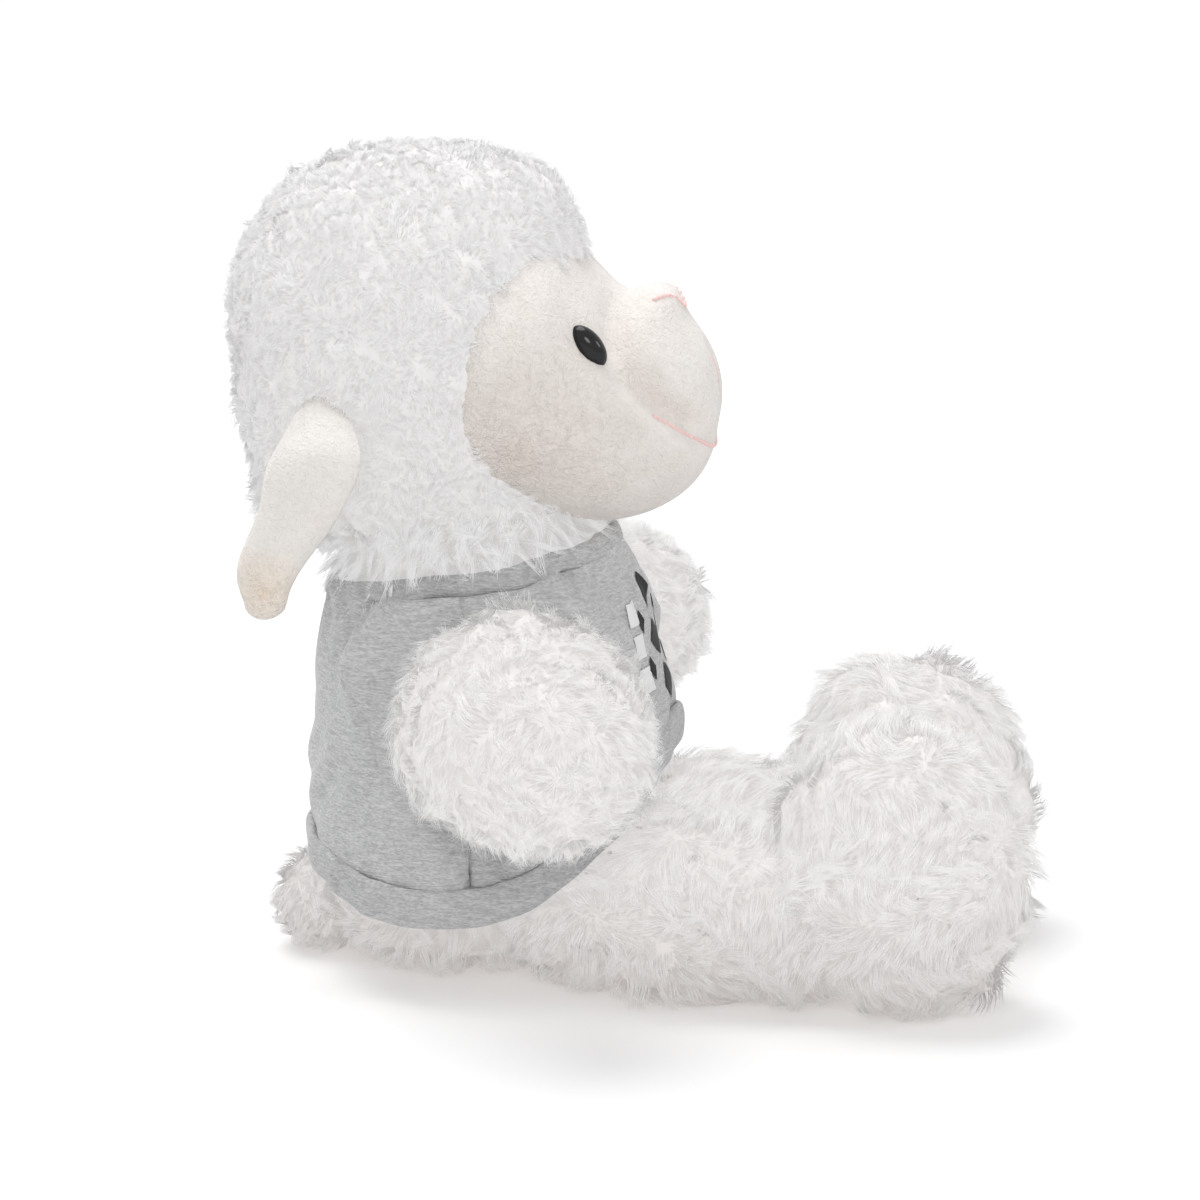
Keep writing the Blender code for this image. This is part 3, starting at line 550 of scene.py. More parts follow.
def comb_locks(roots, out, comb, plush, rng, seed):
    """The way each strand leans, and the root of the lock that it belongs to."""
    total = len(roots)
    combed = comb(roots) if callable(comb) else comb
    heading = along_skin(swirl(roots, plush.wave, seed) * plush.swirls + combed, out)
    centres = rng.choice(total, max(total // plush.lock, 1), replace=False)
    tree = KDTree(len(centres))
    for index, centre in enumerate(centres):
        tree.insert(roots[centre], index)
    tree.balance()
    owner = centres[[tree.find(root)[1] for root in roots]]
    strayed = heading + rng.normal(size=(total, 3))[owner] * plush.stray
    return along_skin(strayed, out), owner


def strand_points(roots, out, heading, owner, plush, rng, longer):
    """The points of every strand, drawn to its lock and curled, and each strand's chance."""
    total = len(roots)
    across = unit(np.cross(out, heading))
    reach = plush.length * (0.75 + 0.5 * rng.random(total)) * longer(roots)
    chance = 0.5 * rng.random(total) + 0.5 * rng.random(total)[owner]
    phase = (rng.random(total) * math.tau)[owner] + rng.normal(size=total) * 0.5
    twist = plush.turns * math.tau * (0.7 + 0.6 * rng.random(total))[owner]
    thick = plush.width * (0.75 + 0.5 * rng.random(total))
    second = np.cross(unit(out * plush.rise + heading * plush.lean), across)
    reach, phase, twist, thick = (each[:, None, None] for each in (reach, phase, twist, thick))
    vectors = (roots, out, heading, across, second)
    roots, out, heading, across, second = (each[:, None, :] for each in vectors)
    t = STRAND_HEIGHTS[:, None]

    def path(index):
        up = out[index] * plush.rise * t * (1 - 0.3 * t)
        return roots[index] + reach[index] * (up + heading[index] * plush.lean * t ** 1.4)

    line = path(np.arange(total))
    line += (path(owner) - line) * plush.pull * t ** 0.8
    angle = phase + twist * t
    line += plush.curl * t ** 0.7 * (np.cos(angle) * across + np.sin(angle) * out * 0.7)
    girth = thick * (1 - 0.65 * t ** 1.5)
    line += girth * (across * STRAND_RING[:, :1] + second * STRAND_RING[:, 1:] * 0.4)
    line[:, :, 2] = np.maximum(line[:, :, 2], FLOOR_SKIN)
    return line, chance


print("rules for locks and strands ready")

# %% Grow plush on a form
def wool_mesh(name, form, line, chance, out):
    """The bare form and all its strands in one mesh, with what the material reads."""
    total, rings = line.shape[:2]
    ground, normals, skin = form
    steps = (np.arange(total) * rings)[:, None, None] + len(ground)
    strands = (STRAND_FACES + steps).reshape(-1, 3)
    mesh = bpy.data.meshes.new(name)
    mesh.from_pydata(np.concatenate([ground, line.reshape(-1, 3)]), [], np.concatenate([skin, strands]))
    kept = {
        "height": (np.full(len(ground), 0.0), np.tile(0.15 + 0.85 * STRAND_HEIGHTS, total)),
        "chance": (np.full(len(ground), 0.3), np.repeat(chance, rings)),
        "form": (normals, np.repeat(out, rings, 0)),
    }
    for title, both in kept.items():
        values = np.concatenate(both).astype(np.float32)
        kind, field = ("FLOAT", "value") if values.ndim == 1 else ("FLOAT_VECTOR", "vector")
        mesh.attributes.new(title, kind, "POINT").data.foreach_set(field, values.ravel())
    return mesh


def grow_wool(
    name, bm, finish, body, count, seed, plush, keep, node=None, comb=(0, 0, -1), longer=lambda p: 1
):
    """Cover a form with locks of strands and join all to one piece, in the place of its skin."""
    rng = np.random.default_rng(seed)
    node = node or name.replace("_wool", "_skin")
    form = arrays_of(bm)
    roots, out = scatter(*form, count, rng, keep)
    heading, owner = comb_locks(roots, out, comb, plush, rng, seed)
    line, chance = strand_points(roots, out, heading, owner, plush, rng, longer)
    mesh = wool_mesh(name, form, line, chance, out)
    dress(name, mesh, finish, body, [node])
    print(name, "strands", len(roots), "triangles", len(mesh.polygons))


def lumpy(bm, depth, size):
    """Round soft lumps with creases between them, as brushed curls have."""
    def move(vert):
        broad = abs(noise.noise(vert.co / size))
        small = abs(noise.noise(vert.co / size * 2.3 + Vector((7, 3, 1))))
        return vert.normal * depth * (1.6 * broad + 0.8 * small - 0.3)

    return displaced(bm, move)


def rest_on_floor(bm):
    """Press a form flat where it meets the floor."""
    for vert in bm.verts:
        vert.co.z = max(vert.co.z, FLOOR_SKIN)
    return bm


print("wool grower ready")

# %% [markdown]
# The head is a round ball of wool, boxed at the back. The face is a second ball laid along
# X, and no wool grows where the face shows. Its outline is worked out by the same function
# that shapes it, so the edge of the wool always follows the face.

# %% Face shape
FACE_FRONT, FACE_LENGTH, FACE_MIDDLE_Z = 0.02154, 0.082, 0.1405
FACE_WIDTH, FACE_HEIGHT = 0.084, 0.066
FACE_WIDTHS = (0.95, 1.00, 1.06, 0.98, 0.84, 0.75, 0.85)
FACE_HEIGHTS = (0.90, 0.98, 1.03, 1.02, 0.94, 1.02, 1.10)
FACE_LIFTS = (0.00, 0.07, 0.09, 0.06, -0.05, -0.07, -0.07)


def face_section(x):
    """Half width, half height and middle height of the face's ball at some X."""
    place = clamp((x - FACE_FRONT) / FACE_LENGTH + 1)
    half_width = FACE_WIDTH / 2 * read_shares(FACE_WIDTHS, place)
    half_height = FACE_HEIGHT / 2 * read_shares(FACE_HEIGHTS, place)
    return half_width, half_height, FACE_MIDDLE_Z + FACE_HEIGHT * read_shares(FACE_LIFTS, place)


def inside_face(points):
    """Which points lie inside the face's ball."""
    found = []
    for x, y, z in points:
        half_width, half_height, middle = face_section(x)
        along = (x - FACE_FRONT) / (FACE_LENGTH / 2) + 1
        found.append(along ** 2 + (y / half_width) ** 2 + ((z - middle) / half_height) ** 2 < 1)
    return np.array(found)


print("face section at the eyes", tuple(round(x, 4) for x in face_section(-0.006)))

# %% Head wool
HEAD_FORM = (
    (-0.04946, 0, 0.1483), (0.0852, 0.0892, 0.0922),
    (1.90, 1.17, 1.01, 1.00, 1.03, 1.11, 1.40), (1.30, 1.06, 1.00, 1.02, 1.02, 1.00, 0.98),
    (0.00, -0.01, -0.01, 0.00, -0.015, 0.00, 0.03),
)
HEAD_PLUSH = Plush(0.0048, 0.00008, lean=0.7, rise=0.55, lock=9, pull=0.6, turns=1.1, swirls=1.6, wave=330)
NECK_MIDDLE = Vector((-0.03796, 0, 0.0995))


def head_comb(points):
    """Down from the crown, and a little over the edge of the face."""
    away_from_face = unit(points - (0.03, 0, 0.14))
    return away_from_face * -0.1 + (0, 0, -0.8)


def on_wool(points):
    under = np.linalg.norm(points - np.array(NECK_MIDDLE), axis=1) < 0.0285
    return ~inside_face(points) & ~under


def longer_below(points):
    """Twice as long at the nape as from the cheeks up."""
    return 1 + np.clip((0.124 - points[:, 2]) / 0.02, 0, 1)


head = lumpy(standing_form(*HEAD_FORM, sides=140, rows=100), 0.0016, 0.0065)
grow_wool(
    "head_wool", head, WOOL, "head", 60000, 11, HEAD_PLUSH, on_wool,
    node="head_wool_skin", comb=head_comb, longer=longer_below,
)

# %% [markdown]
# The limbs wear a longer plush that lies in loose swirls. Arms stick out at the armholes,
# so wool starts past the tee. Each leg runs into an upright foot, and one plush covers both.

# %% Where the tee ends
HEM_SIDE, HEM_FRONT, HEM_BACK = 0.0195, 0.0530, 0.0285
TEE_TOP, TEE_HEIGHT, COLLAR_RISE = 0.1000, 0.0785, 0.0060
TEE_DEPTH, TEE_WIDTH, TEE_MIDDLE_X = 0.0845, 0.0900, -0.03226
TEE_DEPTHS = (0.98, 1.00, 1.00, 0.99, 0.935, 0.855, 0.745)
TEE_WIDTHS = (1.02, 1.00, 0.945, 0.88, 0.81, 0.745, 0.65)
TEE_LEANS = (0.00, 0.00, 0.00, 0.00, -0.018, -0.02, -0.047)


def hem_z(turn):
    """The height of the tee's lower edge: over the thighs in front, lowest just behind the side."""
    ahead = math.cos(turn) + 0.15
    front = max(0.0, ahead / 1.15) ** 1.8 * (HEM_FRONT - HEM_SIDE)
    return HEM_SIDE + front + max(0.0, -ahead / 0.85) ** 2 * (HEM_BACK - HEM_SIDE)


def below_hem(points):
    turns = np.arctan2(points[:, 1] / TEE_WIDTH, (points[:, 0] - TEE_MIDDLE_X) / TEE_DEPTH)
    return points[:, 2] < np.array([hem_z(turn) for turn in turns]) + 0.001


print("hem at the side", hem_z(math.pi / 2))

# %% Arms
ARM_PLUSH = Plush(
    0.0080, 0.00010, lean=0.7, rise=0.55, lock=16, pull=0.6, curl=0.0011, turns=0.7, swirls=1.1, wave=200
)
ARM_SWELLS = (1.00, 1.36, 1.46, 1.47, 1.40, 1.25)
for name, side in SIDES.items():
    shoulder = Vector((-0.02596, side * 0.042, 0.073))
    reach = way_out(side, 65, 10)
    arm = lumpy(limb_form(shoulder, reach, 0.0165, 0.0500, ARM_SWELLS), 0.0022, 0.0100)
    bmesh.ops.scale(arm, vec=(1.12, 1, 1), space=Matrix.Translation(-shoulder), verts=arm.verts)
    axis, start = np.array(reach), np.array(shoulder)

    def past_the_tee(points, axis=axis, start=start):
        return (points - start) @ axis > -0.0140

    def arm_comb(points, axis=axis, start=start):
        far = ((points - start) @ axis)[:, None]
        return axis * (1 - far / 0.05) + (0.1, 0, -0.45)

    grow_wool(
        f"arm_{name}_wool", arm, SHAG, f"arm_{name}", 18500, 20 + side, ARM_PLUSH, past_the_tee,
        comb=arm_comb,
    )

# %% Legs and feet
LEG_PLUSH = Plush(
    0.0095, 0.00010, lean=0.75, rise=0.5, lock=26, pull=0.5, curl=0.0010, swirls=1.1, wave=130, stray=0.35
)
LEG_LENGTH, LEG_SWELLS = 0.066, (1.00, 1.06, 1.11, 1.11, 1.07, 1.05)
FOOT_CORE, FOOT_SWELLS = (0.0245, 0.0205, 0.0315), (0.96, 1.02, 1.04, 1.02, 1.00, 1.00, 1.00)
FOOT_FORM = (0.054, 0.043, 0.065), FOOT_SWELLS, FOOT_SWELLS, (0.04, 0.04, 0.02, 0.00, 0.00, -0.02, -0.02)
LUMP_DEPTH, LUMP_SIZE = 0.0028, 0.0130
for name, side in SIDES.items():
    hip = Vector((-0.00796, side * 0.0212, 0.0214))
    reach = way_out(side, 7.5, 0.8)
    leg = lumpy(limb_form(hip, reach, 0.0180, LEG_LENGTH, LEG_SWELLS), LUMP_DEPTH, LUMP_SIZE)
    foot = standing_form((0.06554, side * 0.033, 0.0335), *FOOT_FORM, sides=96, rows=72)
    foot = lumpy(foot, LUMP_DEPTH, LUMP_SIZE)

    def off_the_foot(points, foot_middle=(0.067, side * 0.033, 0.034)):
        buried = np.linalg.norm((points - foot_middle) / FOOT_CORE, axis=1) < 1.02
        return ~buried & (below_hem(points) | (points[:, 0] > 0.0135))

    def off_the_leg(points, hip=np.array(hip), reach=np.array(reach)):
        rel = points - hip
        along = rel @ reach
        radial = np.linalg.norm(rel - along[:, None] * reach, axis=1)
        return ~((radial < 0.0175) & (along < LEG_LENGTH))

    grow_wool(
        f"leg_{name}_wool", rest_on_floor(leg), SHAG, f"leg_{name}", 19000, 40 + side, LEG_PLUSH,
        off_the_foot, comb=(0.4, 0, -0.7),
    )
    grow_wool(
        f"foot_{name}_wool", rest_on_floor(foot), SHAG, f"leg_{name}", 20500, 60 + side, LEG_PLUSH,
        off_the_leg, comb=(0.2, 0, -0.8),
    )

# %% Tail
TAIL_PLUSH = Plush(0.0066, 0.00010, lean=0.7, rise=0.6, lock=16, curl=0.0010, swirls=1.0)
TAIL_ROOT, TAIL_SWELLS = Vector((-0.07096, 0, 0.0125)), (1.00, 1.04, 1.06, 1.04, 1.02, 1.00)
tail = limb_form(TAIL_ROOT, Vector((-1, 0, 0)), 0.0102, 0.0130, TAIL_SWELLS)
grow_wool(
    "tail_wool", tail, SHAG, "tail", 5000, 81, TAIL_PLUSH,
    keep=lambda p: p[:, 0] < -0.068, comb=(-0.4, 0, -0.6),
)

# %% [markdown]
# The body is mostly under the tee, so plush grows only where it shows: at the seat and
# below the hem. The neck's wool fills the collar, where head and tee meet.

# %% Body and neck
BODY_PLUSH = Plush(
    0.0095, 0.00010, lean=0.8, rise=0.55, lock=26, pull=0.65, curl=0.0012, turns=0.45, swirls=0.8, wave=110
)
body = rest_on_floor(standing_form(
    (-0.03596, 0, 0.0505), (0.077, 0.073, 0.099),
    (1.45, 1.06, 0.84, 1.03, 1.03, 1.19, 1.60), (1.60, 1.12, 1.00, 1.00, 1.02, 1.20, 1.75),
    (-0.07, -0.07, -0.075, 0.035, 0.025, 0.005, -0.02),
))
grow_wool("body_wool", body, SHAG, "torso", 34000, 91, BODY_PLUSH, below_hem)

NECK_PLUSH = Plush(0.0100, 0.00009, lean=1.0, rise=1.05, lock=10, turns=0.8)
grow_wool(
    "neck_wool", ball(48, 32, 0.0278, NECK_MIDDLE), WOOL, "neck", 22500, 95, NECK_PLUSH,
    keep=lambda p: (p[:, 2] > 0.0955) & (p[:, 2] < 0.117),
)

# %% [markdown]
# The face is sewn from short pile cloth and pulled in by its stitches: along the lip, under
# the nose and beside the eyes. A sculpt brush would dent it by hand. Here each dent is a
# soft push along the surface's own normal, placed where the stitch goes.

# %% Face
def nearest_on(line, x, z):
    """Distance in side view from a point to a line of points."""
    best = 1.0
    for (x1, z1), (x2, z2) in zip(line, line[1:]):
        dx, dz = x2 - x1, z2 - z1
        share = clamp(((x - x1) * dx + (z - z1) * dz) / (dx * dx + dz * dz))
        best = min(best, math.hypot(x - x1 - share * dx, z - z1 - share * dz))
    return best


def pulled_in(creases, dents, x, z):
    """The depth, in side view, of creases (line, spread, depth) and dents (x, z, spread, depth)."""
    depth = sum(most * bell(nearest_on(line, x, z), spread) for line, spread, most in creases)
    return depth + sum(
        most * bell(math.hypot(x - at_x, z - at_z), spread) for at_x, at_z, spread, most in dents
    )


CHEEK_LINE = ((-0.0015, 0.1625), (0.0004, 0.1525), (0.0032, 0.1447), (0.0108, 0.1378), (0.0200, 0.1300))
CHEEK_RIM = tuple((x - 0.0045, z - 0.0045) for x, z in CHEEK_LINE[1:])
FACE_CREASES = ((CHEEK_LINE, 0.0031, 0.0047), (CHEEK_RIM, 0.0045, -0.0015))
EYE_DENTS = ((-0.0050, 0.1525, 0.0070, 0.0008), (0.0012, 0.1535, 0.0034, 0.0014))


def face_push(vert):
    """How stitches and stuffing push the cloth at a point."""
    x, y, z = vert.co
    push = -pulled_in(FACE_CREASES, EYE_DENTS, x, z) * min(abs(y) / 0.016, 1) ** 2
    nose = math.hypot(math.hypot(x - 0.0080, z - 0.1600), max(abs(y) - 0.004, 0))
    push += 0.0028 * bell(nose, 0.0048)
    push -= 0.0030 * bell(math.hypot(x + 0.0005, z - 0.1610), 0.0050) * bell(y, 0.014)
    push -= 0.0010 * bell(y, 0.0022) * (x > 0.012) * (0.128 < z < 0.150)
    push += 0.0005 * math.sin(x * 190 + z * 90) * math.sin(z * 170 - x * 60 + 1.0) * bell(x, 0.03)
    return vert.normal * push


face = ball(112, 88)
for vert in face.verts:
    up, across, along = vert.co
    x = FACE_FRONT - FACE_LENGTH / 2 + along * FACE_LENGTH / 2
    half_width, half_height, middle = face_section(x)
    vert.co = Vector((x, across * half_width, middle + up * half_height))
bmesh.ops.recalc_face_normals(face, faces=face.faces)
displaced(face, face_push)
every_way = {"use_axis_x": True, "use_axis_y": True, "use_axis_z": True}
bmesh.ops.smooth_vert(face, verts=face.verts, factor=0.5, **every_way)
face_tree = BVHTree.FromBMesh(face)
face_core = shrunk(face.copy(), 0.0012)
face_piece = add_piece("face", face, PILE, "head", ["face_skin"])
print("face points:", len(face_piece.data.vertices))

# %% [markdown]
# Safety eyes are polished black ovals on a stem. Only their dome shows, so a dome is spun
# from a quarter of an ellipse, set against the cloth and turned a little.

# %% Eyes
gloss = material_graph("eye_gloss", {"Roughness": 0.10, "Specular IOR Level": 0.34})
haze = gloss.noise(300, 3)
BLACK_GLOSS = gloss.feed(
    Base_Color=gloss.ramp(haze, [(0.3, (0.004, 0.004, 0.005)), (0.8, (0.0072, 0.0072, 0.009))]),
    Roughness=haze * 0.05 + 0.10,
)
EYE_X, EYE_Z, EYE_TURN = -0.00646, 0.1530, math.radians(-22)
EYE_SIZE = Matrix.Diagonal((0.0030, 0.0056, 0.0036, 1))
DOME = [(math.cos(t), math.sin(t)) for t in np.linspace(-0.35, math.pi / 2, 20)]
behind_eye = {}
for name, side in SIDES.items():
    spot, out, _, _ = face_tree.ray_cast(Vector((EYE_X, side * 0.09, EYE_Z)), Vector((0, -side, 0)))
    eye = spun(DOME, 48, 1e-5)
    bmesh.ops.holes_fill(eye, edges=[edge for edge in eye.edges if edge.is_boundary])
    turned = Matrix.Rotation(side * EYE_TURN, 4, "Z")
    placing = Matrix.Translation(spot - out * 0.0002) @ facing(out) @ turned @ EYE_SIZE
    bmesh.ops.transform(eye, matrix=placing, verts=eye.verts)
    bmesh.ops.recalc_face_normals(eye, faces=eye.faces)
    behind_eye[name] = Matrix.Translation(spot - out * 0.0034) @ facing(out)
    add_piece(f"eye_{name}_dome", eye, BLACK_GLOSS, "head", [f"eye_{name}"])
print("eyes set")

# %% [markdown]
# Nose, lip and mouth are embroidered: short overlapping stitches of pink thread. A bent
# tube would look like wire, so each stitch is its own small grain along the line.

# %% Stitches
thread = material_graph("pink_thread", {"Roughness": 0.6, "Sheen Weight": 0.2})
fuzz = thread.noise(2600)
PINK_THREAD = thread.feed(
    Base_Color=thread.mix(fuzz, (0.88, 0.56, 0.53), (0.95, 0.70, 0.67)),
    Normal=thread.bump(fuzz, 0.0002, 0.5),
)
STITCH = 0.0013  # from one grain of thread to the next
GRAIN = Matrix.Rotation(math.radians(9), 4, "X") @ Matrix.Diagonal((0.00052, 0.00046, STITCH * 0.66, 1))


def sew(name, spots, node):
    """Lay grains of thread along points that lie on the face."""
    line = [place + out * 0.0001 for place, out, _, _ in spots]
    seam = bmesh.new()
    for start, end in zip(line, line[1:]):
        count = max(round((end - start).length / STITCH), 1)
        for index in range(count):
            middle = start.lerp(end, (index + 0.5) / count)
            placing = Matrix.Translation(middle) @ facing(end - start) @ GRAIN
            bmesh.ops.create_uvsphere(seam, u_segments=8, v_segments=6, radius=1, matrix=placing)
    add_piece(name, seam, PINK_THREAD, "head", [node])


def from_top(x, y):
    return face_tree.ray_cast(Vector((x, y, 0.25)), Vector((0, 0, -1)))


def from_front(y, z):
    return face_tree.ray_cast(Vector((0.10, y, z)), Vector((-1, 0, 0)))


across_face = np.linspace(-1, 1, 15)
sew("nose_thread", [from_top(0.0128 - 0.0065 * s ** 2, 0.0088 * s) for s in across_face], "nose_stitch")
sew("lip_thread", [from_front(0, 0.1465 - 0.0100 * s) for s in np.linspace(0, 1, 8)], "lip_stitch")
sew("mouth_thread", [from_front(0.0215 * s, 0.1256 + 0.0105 * s ** 2) for s in across_face], "mouth_stitch")
print("stitches sewn")

# %% [markdown]
# Each ear is two leaves of short pile sewn round the edge and turned out, so it is soft and
# slightly full. A grid is bent into the leaf, then extruded to give each layer its body.

# %% Ears
EAR_WIDTHS = (0.28, 0.56, 0.81, 0.93, 0.88, 0.80, 0.76, 0.71, 0.64, 0.54, 0.42)
EAR_SWEEPS = (-0.16, -0.10, -0.06, -0.11, -0.20, -0.29, -0.42, -0.57, -0.71, -0.80, -0.81)
EAR_BOWS = (-1.70, -0.30, 0.75, 1.10, 1.22, 1.18, 1.05, 0.85, 0.65, 0.50, 0.35)


def ear_leaf(side, root, inner, outer, margin):
    """One layer of an ear, between two distances from the middle of the leaf."""
    bm = bmesh.new()
    bmesh.ops.create_grid(bm, x_segments=20, y_segments=44, size=1)
    grown = bmesh.ops.extrude_face_region(bm, geom=bm.faces[:])
    outward = {item for item in grown["geom"] if isinstance(item, bmesh.types.BMVert)}
    for vert in bm.verts:
        across, place = vert.co.x, (1 - vert.co.y) / 2
        half = 0.0120 * read_shares(EAR_WIDTHS, place) - margin
        roll = max(0.0, across) * bell(place - 0.24, 0.16)
        x = root.x + 0.0185 * read_shares(EAR_SWEEPS, place) + across * half * (1 - 0.10 * roll)
        bow = 0.0050 * read_shares(EAR_BOWS, place) + 0.0026 * (1 - across ** 2) + 0.0024 * roll ** 2
        end = math.sqrt(max(0.0, 1 - across ** 2))
        z = root.z + 0.0037 - (0.0465 - margin) * place - 0.0035 * end * place ** 4
        edge = (1 - across ** 4) * min(1, 6 * (1 - place) + 0.15)
        depth = outer * edge if vert in outward else inner
        vert.co = Vector((x, root.y + side * (bow + depth + 0.0015), z))
    bmesh.ops.recalc_face_normals(bm, faces=bm.faces)
    return bm


LAYERS = {"outer": (0.0, 0.0022, 0.0), "lining": (-0.0001, -0.0016, 0.0006)}
for name, side in SIDES.items():
    low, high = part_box(f"ear_outer_{name}")
    root = Vector((-0.06296, (low.y if side > 0 else high.y) - side * 0.0012, 0.1390))
    for layer, sizes in LAYERS.items():
        leaf, nodes = ear_leaf(side, root, *sizes), [f"ear_{layer}_{name}"]
        leaf = add_piece(f"ear_{name}_{layer}", leaf, EAR_PILE, f"ear_{name}", nodes)
print("ears sewn")

# %% [markdown]
# The tee is heather grey jersey: light and dark fibres are knitted together, so the cloth
# shows short level streaks. A grid follows the body's outline, and folds, the puffed edge
# of the armholes and the seams are pushed into it before the cloth gets its thickness.

# %% Jersey
def jersey_material(name, light, dark):
    graph = material_graph(name, {"Roughness": 0.9, "Sheen Weight": 0.3, "Sheen Roughness": 0.5})
    streaks = graph.noise(1.0, 3, graph.place(scale=(260, 260, 1500)), 0.65)
    flecks = graph.noise(1.0, 2, graph.place(scale=(1000, 1000, 2800), turned=(0, 0.12, 0)))
    mask = streaks * 0.42 + flecks * 0.48 + graph.noise(60, 3) * 0.10
    mask = graph.ramp(mask, [(0.39, 0), (0.61, 1)])
    levels = {"Vector": graph.place(), "Scale": 520.0, "Distortion": 1.2}
    knit = graph.node("ShaderNodeTexWave", {"bands_direction": "Z"}, levels) * 0.5 + flecks
    return graph.feed(Base_Color=graph.mix(mask, dark, light), Normal=graph.bump(knit, 0.0003, 0.45))


JERSEY = jersey_material("heather_jersey", 0.63, 0.395)
RIB = jersey_material("heather_edge", 0.58, 0.36)
print("jersey knitted")

# %% How the tee lies
ARMHOLE_X, ARMHOLE_Z, ARMHOLE_RADIUS = -0.026, 0.073, 0.0190
PUFF, PUFF_RING = 0.0070, 0.0258
SHOULDER_SEAM = (
    (-0.046, 0.098), (-0.057, 0.0925), (-0.0625, 0.0850),
    (-0.0605, 0.0760), (-0.0560, 0.0640), (-0.0535, 0.0560),
)
TEE_CREASES = (
    (((-0.0390, 0.0460), (-0.0320, 0.0300)), 0.0017, 0.0016),
    (((-0.0290, 0.0450), (-0.0245, 0.0320)), 0.0017, 0.0016),
    (((-0.0150, 0.1050), (-0.0115, 0.1010), (-0.0125, 0.0955)), 0.0016, 0.0013),
    (SHOULDER_SEAM, 0.0011, 0.0014),
)
HOLLOWS = ((-0.0180, 0.0985, 0.0050, 0.0024), (-0.0530, 0.0860, 0.0070, 0.0018))


def collar_z(turn):
    return TEE_TOP + COLLAR_RISE * math.cos(turn)


def tee_fold(x, z, turn):
    """How far the cloth stands off its plain outline."""
    ring = math.hypot((x - ARMHOLE_X) / (1.28 if x < ARMHOLE_X else 1.0), z - ARMHOLE_Z)
    puff = PUFF * bell(ring - PUFF_RING, 0.0027 if ring > PUFF_RING else 0.0090)
    out = puff * clamp((z - 0.060) / 0.020, 0.3) - pulled_in(TEE_CREASES, HOLLOWS, x, z)
    out *= min(1.0, abs(math.sin(turn)) * 1.5)
    out += 0.0006 * math.sin(23 * turn + z * 260) * bell(z - 0.092, 0.009)
    slanted = abs(turn) - 0.80 - (z - 0.094) * 14
    out -= 0.0016 * bell(slanted, 0.06) * clamp((z - 0.080) / 0.008)
    low = bell(z - 0.047, 0.020)
    out += 0.0008 * math.sin(abs(turn) * 7.0 + z * 190) * low
    return out + 0.0005 * math.sin(turn * 17 - z * 330) * low * math.cos(turn) ** 2


def boxed(value, power):
    """A share from -1 to 1, drawn outward, with its sign kept."""
    return math.copysign(abs(value) ** power, value)


def tee_point(turn, z, out=0.0, folds=1.0):
    """The place on the tee at a turn about its middle and a height."""
    place = (z - TEE_TOP + TEE_HEIGHT) / (TEE_HEIGHT + COLLAR_RISE)
    half_depth = TEE_DEPTH / 2 * read_shares(TEE_DEPTHS, place)
    half_width = TEE_WIDTH / 2 * read_shares(TEE_WIDTHS, place)
    lean = TEE_DEPTH * read_shares(TEE_LEANS, place)
    along, across = boxed(math.cos(turn), 2 / 2.4), boxed(math.sin(turn), 2 / 2.4)
    x = TEE_MIDDLE_X + lean + half_depth * along
    grown = out + folds * tee_fold(x, z, turn)
    return Vector((x + grown * along, (half_width + grown) * across, z))


def wrapped_grid(columns, rows, rule, weld=False):
    """A grid whose points a rule places from two shares, joined to itself where it meets."""
    bm = bmesh.new()
    bmesh.ops.create_grid(bm, x_segments=columns, y_segments=rows, size=1)
    for vert in bm.verts:
        vert.co = rule((vert.co.x + 1) / 2, (vert.co.y + 1) / 2)
    if weld:
        bmesh.ops.remove_doubles(bm, verts=bm.verts, dist=1e-6)
    bmesh.ops.recalc_face_normals(bm, faces=bm.faces)
    return bm


print("tee rules ready")

# %% Front and back of the tee
def by_armhole(place, radius):
    return math.hypot(place.x - ARMHOLE_X, place.z - ARMHOLE_Z) < radius and abs(place.y) > 0.02


def panel(first, last):
    """The front or the back of the tee, with its armhole edges cut round."""
    def rule(across, up):
        turn = first + (last - first) * across
        low, high = hem_z(turn) + 0.0085, collar_z(turn) - 0.0035
        return tee_point(turn, low + (high - low) * up)

    bm = wrapped_grid(126, 80, rule)
    holes = [face for face in bm.faces if by_armhole(face.calc_center_median(), 0.0188)]
    bmesh.ops.delete(bm, geom=holes, context="FACES")
    for vert in bm.verts:
        if vert.is_boundary and by_armhole(vert.co, 0.0215):
            x, z = vert.co.x - ARMHOLE_X, vert.co.z - ARMHOLE_Z
            grow = ARMHOLE_RADIUS / math.hypot(x, z)
            vert.co.x, vert.co.z = ARMHOLE_X + x * grow, ARMHOLE_Z + z * grow
    bmesh.ops.recalc_face_normals(bm, faces=bm.faces)
    return bm


panels = []
for name, turns in {"front": (-math.pi / 2, math.pi / 2), "back": (math.pi / 2, math.pi * 1.5)}.items():
    cut = panel(*turns)
    cloth_area = sum(face.calc_area() for face in cut.faces)
    piece = add_piece(f"tee_{name}_cloth", cut, JERSEY, "torso", [f"tee_{name}"])
    solid = piece.modifiers.new("thickness", "SOLIDIFY")
    solid.thickness = 0.0011
    solid.offset = 0
    panels.append((piece, cloth_area))
    print(piece.name, "cloth area", round(cloth_area, 5))

# %% [markdown]
# The lower edge is turned up and stitched, so it is a soft flat tube with a line pressed in
# along its top. Collar and armholes end in narrower rolled edges of the same cloth.

